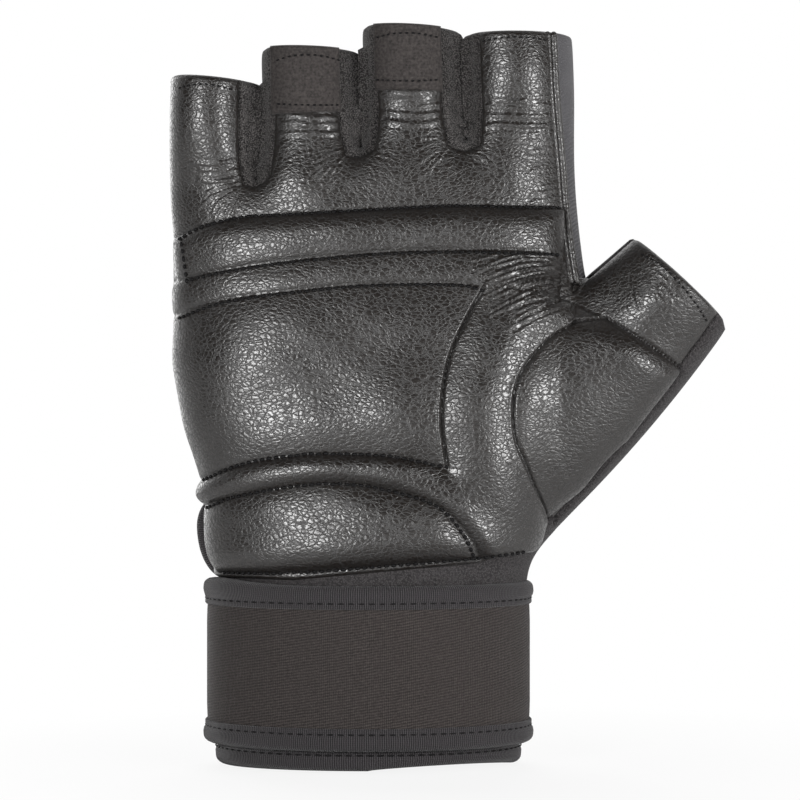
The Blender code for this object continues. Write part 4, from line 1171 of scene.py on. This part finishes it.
def sweep(name, sections, material, closed=False):
    """A closed solid through a row of like sections, each a loop of points, with a map of metres on it."""
    grid = np.asarray(sections, float)
    rows, count = grid.shape[:2]
    along = np.concatenate([[0], np.cumsum(np.linalg.norm(np.diff(grid.mean(axis=1), axis=0), axis=1))])
    loop = np.linalg.norm(np.roll(grid[rows // 2], -1, axis=0) - grid[rows // 2], axis=1)
    across = np.concatenate([[0], np.cumsum(loop)])
    faces, maps = [], []
    if closed:
        along = np.append(along, along[-1] + np.linalg.norm(grid[0].mean(0) - grid[-1].mean(0)))
    for row in range(rows if closed else rows - 1):
        here, there = row * count, (row + 1) % rows * count
        near, far = along[row : row + 2]
        for n in range(count):
            after = (n + 1) % count
            faces.append((here + n, here + after, there + after, there + n))
            low, high = across[n : n + 2]
            maps.append([(near, low), (near, high), (far, high), (far, low)])
    if not closed:
        faces += [tuple(range(count))[::-1], tuple(range((rows - 1) * count, rows * count))]
        maps += [[(0, low) for low in across[count - 1 :: -1]], [(along[-1], low) for low in across[:count]]]
    places = grid.reshape(-1, 3)
    volume = sum(
        np.dot(places[face[0]], np.cross(places[second], places[third]))
        for face in faces for second, third in zip(face[1:], face[2:])
    )
    if volume < 0:
        faces = [face[::-1] for face in faces]
        maps = [corners[::-1] for corners in maps]
    obj = mesh_object(name, places, faces, material)
    layer = obj.data.uv_layers.new(name="lay")
    layer.data.foreach_set("uv", np.concatenate(maps).astype(np.float32).reshape(-1))
    return obj


def left_rise(angle, inwards):
    """The upper tape stands higher at the little-finger side."""
    return 0.0013 * math.exp(-(((angle - math.radians(203)) / math.radians(24)) ** 2)) if inwards < 0 else 0


def band_loop(angle):
    """The elastic's section, a little fuller in the middle."""
    layer = wrap_layer(angle)
    low, high = WRAP_BOTTOM + BAND_INSET, WRAP_TOP - BAND_INSET
    section = []
    for share in np.linspace(0, 1, 14):
        full = 0.0005 * min(1.0, 4 * share * (1 - share) * 1.6)
        section.append((layer + WRAP_WALL - 0.0002 + full, low + (high - low) * share))
    return ring_loop(angle, section + [(layer, high), (layer, 0.5 * (low + high)), (layer, low)])


def tape_loop(angle, edge, inwards):
    """The rolled tape over an edge: full at the fold, drawn in where it is sewn, with a thin tail."""
    layer = wrap_layer(angle)
    rise = left_rise(angle, inwards)
    edge += rise
    sewn, tail = STITCH_ROW + rise, TAPE_TAIL + rise
    inner, outer = layer - 0.0003, layer + WRAP_WALL + 0.0003
    section = [
        (inner - 0.0005, tail), (inner - 0.0007, 0.5 * tail),
        *half_round(0.5 * (inner + outer), 0.5 * (outer - inner) + 0.00085, 11, 0, 0.0018),
        (outer + 0.00090, 0.0026), (outer + 0.00075, 0.0034), (outer + 0.0004, sewn - 0.0003),
        (outer + 0.00028, sewn), (outer + 0.00042, sewn + 0.0004), (outer + 0.00045, tail - 0.0003),
        (outer + 0.0002, tail), (outer - 0.0001, tail), (outer - 0.0001, 0.0012), (inner + 0.0001, 0.0012),
        (inner + 0.0001, tail),
    ]
    return ring_loop(angle, [(offset, edge + inwards * depth) for offset, depth in section])


def tape_row(angle, edge, inwards):
    """Where the stitches of a tape run."""
    rise = left_rise(angle, inwards)
    offset = wrap_layer(angle) + WRAP_WALL + STITCH_LIFT
    return ring_place(angle, offset, edge + rise + inwards * (STITCH_ROW + rise))


def make_wrap(prefix, start, end, nodes, bend):
    angles = angles_between(start, end)
    band = sweep(f"{prefix}_band", [band_loop(a) for a in angles], ELASTIC)
    pieces = [(band, "band", "wrap_elastic")]
    for name, edge, inwards in TAPED:
        tape = sweep(f"{prefix}_{name}_tape", [tape_loop(a, edge, inwards) for a in angles], JERSEY)
        pieces.append((tape, f"{name}_binding", "binding_tape"))
    for obj, suffix, slot in pieces:
        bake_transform(obj)
        settle(obj, [f"{node}_{suffix}" for node in nodes], None)


def make_tab_end():
    """The tape round the free end of the wrap."""
    layer = wrap_layer(TAB_END)
    inner, outer = layer - 0.0006, layer + WRAP_WALL + 0.0006
    middle, half = 0.5 * (inner + outer), 0.5 * (outer - inner) + 0.0011
    turns = np.linspace(math.pi, 0, 11)
    plan = [
        (-0.0056, inner - 0.0010), (-0.0028, inner - 0.0012),
        *((0.0016 * math.sin(turn), middle + half * math.cos(turn)) for turn in turns),
        (-0.0022, outer + 0.0010), (-0.0040, outer + 0.0008), (-0.0050, outer + 0.0009),
        (-0.0056, outer + 0.0006),
    ]
    sections = []
    for share in np.linspace(0, 1, 26):
        z = WRAP_BOTTOM - 0.0004 + (WRAP_HEIGHT + 0.0008) * share
        full = rounded(np.array([min(share, 1 - share)]), 0.06, 0.3)[0]
        loop = []
        for out, offset in plan:
            angle = TAB_END - (out * full - 0.0008 * (1 - full)) / END_RADIUS
            loop.append(ring_place(angle, middle + (offset - middle) * full, z))
        sections.append(loop)
    settle(sweep("tab_end_tape", sections, JERSEY), [], "strap_tab")


def rim_loop(angle):
    """The tape folded round the cuff's rim, which lifts a little at the thumb side in front."""
    low = max(0.0, -math.sin(angle)) * (0.0006 + 0.0022 * max(0.0, math.cos(angle)) ** 0.7)
    inner, outer = -0.0034, 0.0012
    return ring_loop(angle, [
        (inner + 0.0006, 0.0085), (inner, 0.0085), (inner - 0.0003, 0.0050),
        *half_round(0.5 * (inner + outer) - 0.0001, 0.5 * (outer - inner) + 0.0004, 13, low, 0.0021),
        (outer + 0.0004, 0.0034), (outer + 0.0002, 0.0042), (outer - 0.0001, 0.0046),
        (outer + 0.0001, 0.0050), (outer - 0.0002, 0.0053), (0.0, 0.0053), (0.0, 0.0030),
        (inner + 0.0006, 0.0030),
    ])


def make_rim():
    loops = [rim_loop(angle) for angle in np.linspace(0, 2 * math.pi, 180, endpoint=False)]
    settle(sweep("cuff_rim", loops, JERSEY, closed=True), ["cuff_binding"])


def tube(name, path, thick, wide, ends, material):
    """A soft roll along a path, drawn in over a share of it at both ends. wide is measured across Y."""
    path = np.asarray(path)
    shares = np.linspace(0, 1, len(path))
    swell = rounded(np.minimum(shares, 1 - shares), *ends)
    heading = np.gradient(path, axis=0)
    heading /= np.linalg.norm(heading, axis=1)[:, None]
    outwards = np.cross(heading, (0, 1, 0))
    outwards /= np.linalg.norm(outwards, axis=1)[:, None]
    sideways = np.cross(outwards, heading)
    turns = np.linspace(0, 2 * math.pi, 14, endpoint=False)
    sections = [
        [place + out * t * math.cos(turn) + side * w * math.sin(turn) for turn in turns]
        for place, out, side, t, w in zip(path, outwards, sideways, thick * swell, wide * swell)
    ]
    return sweep(name, sections, material)


def make_side_roll():
    line = smooth_line([(212, 499), (206, 515), (205, 530), (208, 548), (215, 564), (225, 577)], 2.0)
    depths = 0.0010 + 0.001 * np.linspace(0, 1, len(line))
    path = [pixel_place(pixel, depth) for pixel, depth in zip(line, depths)]
    obj = tube("side_roll_of_cloth", path, 0.0020, 0.0027, (0.35, 0.15), JERSEY)
    settle(obj, ["side_roll"])


def shared_edge(form, first, second):
    """The points that two panels share."""
    return np.intersect1d(form.of_panel(first), form.of_panel(second))


def make_side_welt():
    """The folded leather edge between the palm and the panel at the index finger's side."""
    shared = shared_edge(FINE, "palm", "side")
    order = shared[np.argsort(-FINE.places[shared, 2])]
    path = FINE.places[order] + FINE.normals[order] * 0.0011
    for name, across in (("side_welt", -0.0005), ("side_welt_edge", 0.0010)):
        row = path + np.array([across, 0.3 * across, 0])
        settle(tube(name, row, 0.0009, 0.0007, (0.04, 0.3), LEATHER), [])


def make_patch(name, start, end, layer, wall, material, body, slot):
    """One patch of the closure, between two angles round the wrist."""
    low, high = WRAP_BOTTOM + PATCH_INSET, WRAP_TOP - PATCH_INSET
    section = ((layer, low), (layer + wall, low), (layer + wall, high), (layer, high))
    sections = [ring_loop(angle, section) for angle in angles_between(start, end, 2.0)]
    settle(sweep(f"{name}_sheet", sections, material), [name], body)


for prefix, stretch in STRETCHES.items():
    make_wrap(prefix, *stretch)
make_tab_end()
make_rim()
make_side_roll()
make_side_welt()
PATCH_GAP, PATCH_WALL = 0.00035, 0.0009
LOOP_ENDS = (TAB_END, math.radians(132))
# the hook patch is thinner, to leave room for its rows of hooks
HOOK_BASE = 0.0004
HOOK_LAYER = wrap_layer(TAB_END) - PATCH_GAP - PATCH_WALL
HOOK_ENDS = (TAB_END + math.radians(6), TAB_HINGE - math.radians(6))
make_patch("loop_patch", *LOOP_ENDS, PATCH_GAP, PATCH_WALL, PILE, "glove", "loop_pile")
make_patch("hook_patch", *HOOK_ENDS, HOOK_LAYER + HOOK_BASE, 0.0005, HOOK, "strap_tab", "hook_plastic")

# ---- Stitching


def build_sewing():
    """Geometry nodes that set stitches one after another along a path, whose own lie says which way is up."""
    group = bpy.data.node_groups.new("sewn_run", "GeometryNodeTree")
    for label, kind in (("Path", "Geometry"), ("Pitch", "Float"), ("Size", "Vector"), ("Thread", "Material")):
        group.interface.new_socket(label, in_out="INPUT", socket_type=f"NodeSocket{kind}")
    group.interface.new_socket("Stitches", in_out="OUTPUT", socket_type="NodeSocketGeometry")
    given = group.nodes.new("NodeGroupInput").outputs

    def add(kind, inputs=None, **settings):
        return add_node(group, kind, inputs, **settings).outputs[0]

    curve = add("GeometryNodeMeshToCurve", {0: given["Path"]})
    spaced = add("GeometryNodeResampleCurve", {"Curve": curve, "Length": given["Pitch"]}, mode="LENGTH")
    lie = add("GeometryNodeInputNamedAttribute", {"Name": "lie"}, data_type="FLOAT_VECTOR")
    align = "FunctionNodeAlignRotationToVector"
    ahead = add(align, {"Vector": add("GeometryNodeInputTangent")}, axis="X")
    upright = add(align, {"Rotation": ahead, "Vector": lie}, axis="Z", pivot_axis="X")
    ball = add("GeometryNodeMeshUVSphere", {"Segments": 8, "Rings": 6, "Radius": 0.5})
    stitch = add("GeometryNodeTransform", {"Geometry": ball, "Scale": given["Size"]})
    ends = {"Min": (0.88, 0.9, 0.85), "Max": (1.06, 1.1, 1.1), "Seed": 5}
    uneven = add("FunctionNodeRandomValue", ends, data_type="FLOAT_VECTOR")
    placed = add("GeometryNodeInstanceOnPoints", {
        "Points": spaced, "Instance": stitch, "Rotation": upright, "Scale": uneven,
    })
    soft = add("GeometryNodeSetShadeSmooth", {0: add("GeometryNodeRealizeInstances", {0: placed})})
    threaded = add("GeometryNodeSetMaterial", {"Geometry": soft, "Material": given["Thread"]})
    add_node(group, "NodeGroupOutput", {0: threaded})
    return group


SEWING = build_sewing()
SEWING_INPUTS = {item.name: item.identifier for item in SEWING.interface.items_tree if item.in_out == "INPUT"}
# each kind of stitch: how far apart they are set, and their length, width and height
PALM_STITCH = 0.00175, (0.00140, 0.00086, 0.00080)
HEM_STITCH = 0.0015, (0.0009, 0.00050, 0.0004)
BACK_STITCH = 0.0022, (0.0015, 0.00050, 0.0004)
TAPE_STITCH = 0.0025, (0.0017, 0.00046, 0.0004)
HOOKS = 0.0012, (0.0005, 0.0004, 0.0007)
# metres off the cuff and height of the rim's row, and the lowest, highest and spacing of the rows of hooks
RIM_ROW = 0.00150, 0.0046
HOOK_ROWS = WRAP_BOTTOM + 0.0092, WRAP_TOP - 0.0090, 0.0013
HOOK_LIFT = 0.00025
# how far the stitches stand off the leather and the cloth, and the depth of the back's hems
FRONT_LIFT, BACK_LIFT, BACK_HEM_DEPTH = 0.0002, 0.0001, 0.010


def sew(name, runs, stitch, thread=THREAD):
    """One mesh of stitches along some runs, each a list of (place, outward normal)."""
    places, lies, edges = [], [], []
    for run in runs:
        first = len(places)
        places += [tuple(place) for place, _ in run]
        lies += [tuple(lie) for _, lie in run]
        edges += [(first + n, first + n + 1) for n in range(len(run) - 1)]
    data = bpy.data.meshes.new("path")
    data.from_pydata(places, edges, [])
    layer = data.attributes.new("lie", "FLOAT_VECTOR", "POINT")
    layer.data.foreach_set("vector", np.asarray(lies, np.float32).reshape(-1))
    path = add_object("path", data)
    sewing = path.modifiers.new("sew", "NODES")
    sewing.node_group = SEWING
    for label, value in zip(("Pitch", "Size", "Thread"), (*stitch, thread)):
        sewing[SEWING_INPUTS[label]] = value
    mesh = bpy.data.meshes.new_from_object(path.evaluated_get(bpy.context.evaluated_depsgraph_get()))
    mesh.materials.clear()
    mesh.materials.append(thread)
    bpy.data.objects.remove(path)
    return add_object(name, mesh)


def surface_tree(*objects):
    """What a ray can land on."""
    places, faces = [], []
    for obj in objects:
        first = len(places)
        places += [vert.co.copy() for vert in obj.data.vertices]
        faces += [[first + n for n in poly.vertices] for poly in obj.data.polygons]
    return BVHTree.FromPolygons(places, faces)


FRONT = surface_tree(PALM, *TABS)
BEHIND = surface_tree(CLOTHS["back_of_hand"], CLOTHS["back_of_thumb"])


def landed(tree, rays, side, lift):
    """Where rays land, as (place, normal) a little off the surface. side says which way along Y it faces."""
    run = []
    for start, aim in rays:
        place, normal, _, _ = tree.ray_cast(start, aim)
        if place is not None:
            normal = normal if normal.y * side > 0 else -normal
            run.append((place + normal * lift, normal))
    return run


def on_front(line):
    """A line of pixels laid on the leather and the tabs."""
    rays = [(CAMERA_PLACE, pixel_ray(pixel)) for pixel in smooth_line(line, 1.5)]
    return landed(FRONT, rays, -1, FRONT_LIFT)


def on_back(line):
    """A line of (x, z) places laid on the back of the hand and of the thumb."""
    rays = [(Vector((x, 0.1, z)), Vector((0, -1, 0))) for x, z in smooth_line(line, 0.0004)]
    return landed(BEHIND, rays, 1, BACK_LIFT)


def edge_of_back(other, shift, axis):
    """A line inside the edge where the back of the hand meets another panel, as (x, z) places."""
    places = FINE.places[shared_edge(FINE, "back", other)][:, [0, 2]] + shift
    return places[np.argsort(places[:, axis])][4:-4:8]


def round_wrist(row, start, end):
    """A run round the wrist: row gives a place for an angle."""
    run = []
    for angle in angles_between(start, end, 1.0):
        out = Vector((math.cos(angle) / CUFF_WIDTH, math.sin(angle) / CUFF_DEPTH, 0)).normalized()
        run.append((row(angle), out))
    return run


HEM_RUNS = [
    [(180, 88), (192, 85), (205, 84), (218, 86), (230, 89)],
    [(484, 41), (500, 38), (515, 37), (532, 38), (550, 41)],
    [(278, 60), (292, 56), (307, 55), (322, 56), (338, 60)], [(279, 104), (308, 105), (337, 105)],
    [(378, 37), (392, 34), (407, 33), (422, 34), (436, 37)], [(378, 80), (408, 81), (436, 80)],
    [(643, 255), (662, 266), (681, 285), (696, 304), (706, 320)],
]
BACK_HEMS = [
    [(181, 90), (206, 88), (231, 92)], [(272, 59), (306, 57), (339, 60)], [(373, 37), (406, 35), (437, 38)],
    [(480, 43), (515, 41), (548, 43)], [(634, 265), (653, 276), (672, 295), (687, 314), (697, 330)],
]
# the panels that the back is sewn to, how far inside their edge the row runs, and the axis that it runs along
BACK_EDGES = (
    ("palm", (0.0026, 0), 1), ("side", (-0.0022, 0), 1), ("thumb_back", (-0.0022, 0), 1),
    ("cuff", (0, 0.0024), 0),
)
settle(sew("palm_stitches", [on_front(SEAMS[name]) for name in STITCHED], PALM_STITCH), [])
settle(sew("hem_stitches", [on_front(line) for line in HEM_RUNS], HEM_STITCH), [])
back_runs = [on_back([pixel_place(pixel, BACK_HEM_DEPTH)[[0, 2]] for pixel in line]) for line in BACK_HEMS]
back_runs += [on_back(edge_of_back(*edge)) for edge in BACK_EDGES]
settle(sew("back_stitches", back_runs, BACK_STITCH), [])
for prefix, (start, end, _, bend) in STRETCHES.items():
    tape_runs = [round_wrist(lambda a: tape_row(a, edge, inwards), start, end) for _, edge, inwards in TAPED]
    stitches = sew(f"{prefix}_stitches", tape_runs, TAPE_STITCH)
    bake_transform(stitches)
    settle(stitches, [], None)
rim_run = round_wrist(lambda a: ring_place(a, *RIM_ROW), 0, 2 * math.pi)
settle(sew("rim_stitches", [rim_run], TAPE_STITCH), [])
hook_runs = []
for height in np.arange(*HOOK_ROWS):
    run = round_wrist(lambda a: ring_place(a, HOOK_LAYER + HOOK_LIFT, height), *HOOK_ENDS)
    hook_runs.append([(place, -lie) for place, lie in run])
settle(sew("hook_rows", hook_runs, HOOKS, HOOK), [], "strap_tab")

# ---- Light, floor and camera

WHITE, PALE = (1, 1, 1, 1), (0.8, 0.8, 0.8, 1)
FLOOR_SIZE, FLOOR_HEIGHT = 8, -0.0004


def seen_white(wire, behind):
    """One where the camera looks, and where a mirrored ray goes behind the glove."""
    path = wire.add("LightPath")
    shiny = wire.math("MAXIMUM", path["Is Glossy Ray"], path["Is Transmission Ray"])
    return wire.math("MAXIMUM", path["Is Camera Ray"], wire.times(shiny, behind))


def make_floor():
    bpy.ops.mesh.primitive_plane_add(size=FLOOR_SIZE, location=(0, 0, FLOOR_HEIGHT))
    floor = bpy.context.object
    floor.name = "floor"
    material = bpy.data.materials.new("pale_floor")
    material.use_nodes = True
    wire = Wiring(material.node_tree)
    paint = wire.tree.nodes["Principled BSDF"]
    paint.inputs["Base Color"].default_value = PALE
    paint.inputs["Roughness"].default_value = 0.9
    glow = wire.add("Emission", {"Color": WHITE, "Strength": 1.0})[0]
    place = wire.add("TexCoord")["Object"]
    away = wire.add("VectorMath", {0: place}, operation="LENGTH")["Value"]
    behind = wire.spread(wire.add("SeparateXYZ", {0: place})[1], 0.02, 0.12)
    share = wire.times(seen_white(wire, behind), wire.spread(away, 0.05, 0.16, 0.88, 1.0))
    mix = wire.add("MixShader", {0: share, 1: paint.outputs[0], 2: glow})[0]
    wire.tree.links.new(mix, wire.tree.nodes["Material Output"].inputs["Surface"])
    floor.data.materials.append(material)


def make_world():
    """White behind the glove, and a dim room on the camera's side of it."""
    world = SCENE.world or bpy.data.worlds.new("studio")
    SCENE.world = world
    world.use_nodes = True
    wire = Wiring(world.node_tree)
    wire.tree.nodes.clear()
    aim = wire.add("SeparateXYZ", {0: wire.add("TexCoord")["Generated"]})
    level = wire.spread(aim[2], 0.05, 0.5, 0.06, 0.03)
    room, white = (wire.add("Background", {"Color": WHITE, "Strength": power})[0] for power in (level, 1.0))
    share = seen_white(wire, wire.spread(aim[1], 0.0, 0.5))
    mix = wire.add("MixShader", {0: share, 1: room, 2: white})[0]
    wire.add("OutputWorld", {"Surface": mix})


def make_light(name, place, size, power, target, mirrored=True):
    data = bpy.data.lights.new(name, "AREA")
    data.shape = "RECTANGLE"
    data.size, data.size_y = size
    data.energy = power
    obj = add_object(name, data)
    obj.location = place
    obj.rotation_euler = (Vector(target) - Vector(place)).to_track_quat("-Z", "Y").to_euler()
    obj.visible_glossy = mirrored


def make_camera():
    data = bpy.data.cameras.new("view")
    data.sensor_width = 36
    data.lens = data.sensor_width * VIEW_DISTANCE / VIEW_WIDTH
    data.clip_start = 0.01
    obj = add_object("view", data)
    obj.location = CAMERA_PLACE
    obj.rotation_euler = (math.pi / 2, 0, 0)
    SCENE.camera = obj


make_floor()
make_world()
make_light("left_box", (-0.43, -0.80, 0.16), (0.24, 0.30), 5.0, (0, 0, 0.10))
make_light("right_box", (0.60, -0.67, 0.13), (0.24, 0.26), 4.6, (0, 0, 0.10))
make_light("right_fill", (0.80, -0.46, 0.22), (0.50, 0.70), 4.0, (0, 0, 0.10), mirrored=False)
make_light("left_rim", (-0.50, 0.74, 0.18), (0.34, 0.60), 2.0, (0, 0, 0.09))
make_light("back_box", (-0.10, 0.85, 0.72), (0.80, 0.50), 11.0, (0, 0, 0.09), mirrored=False)
make_camera()
SCENE.view_settings.view_transform = "Standard"
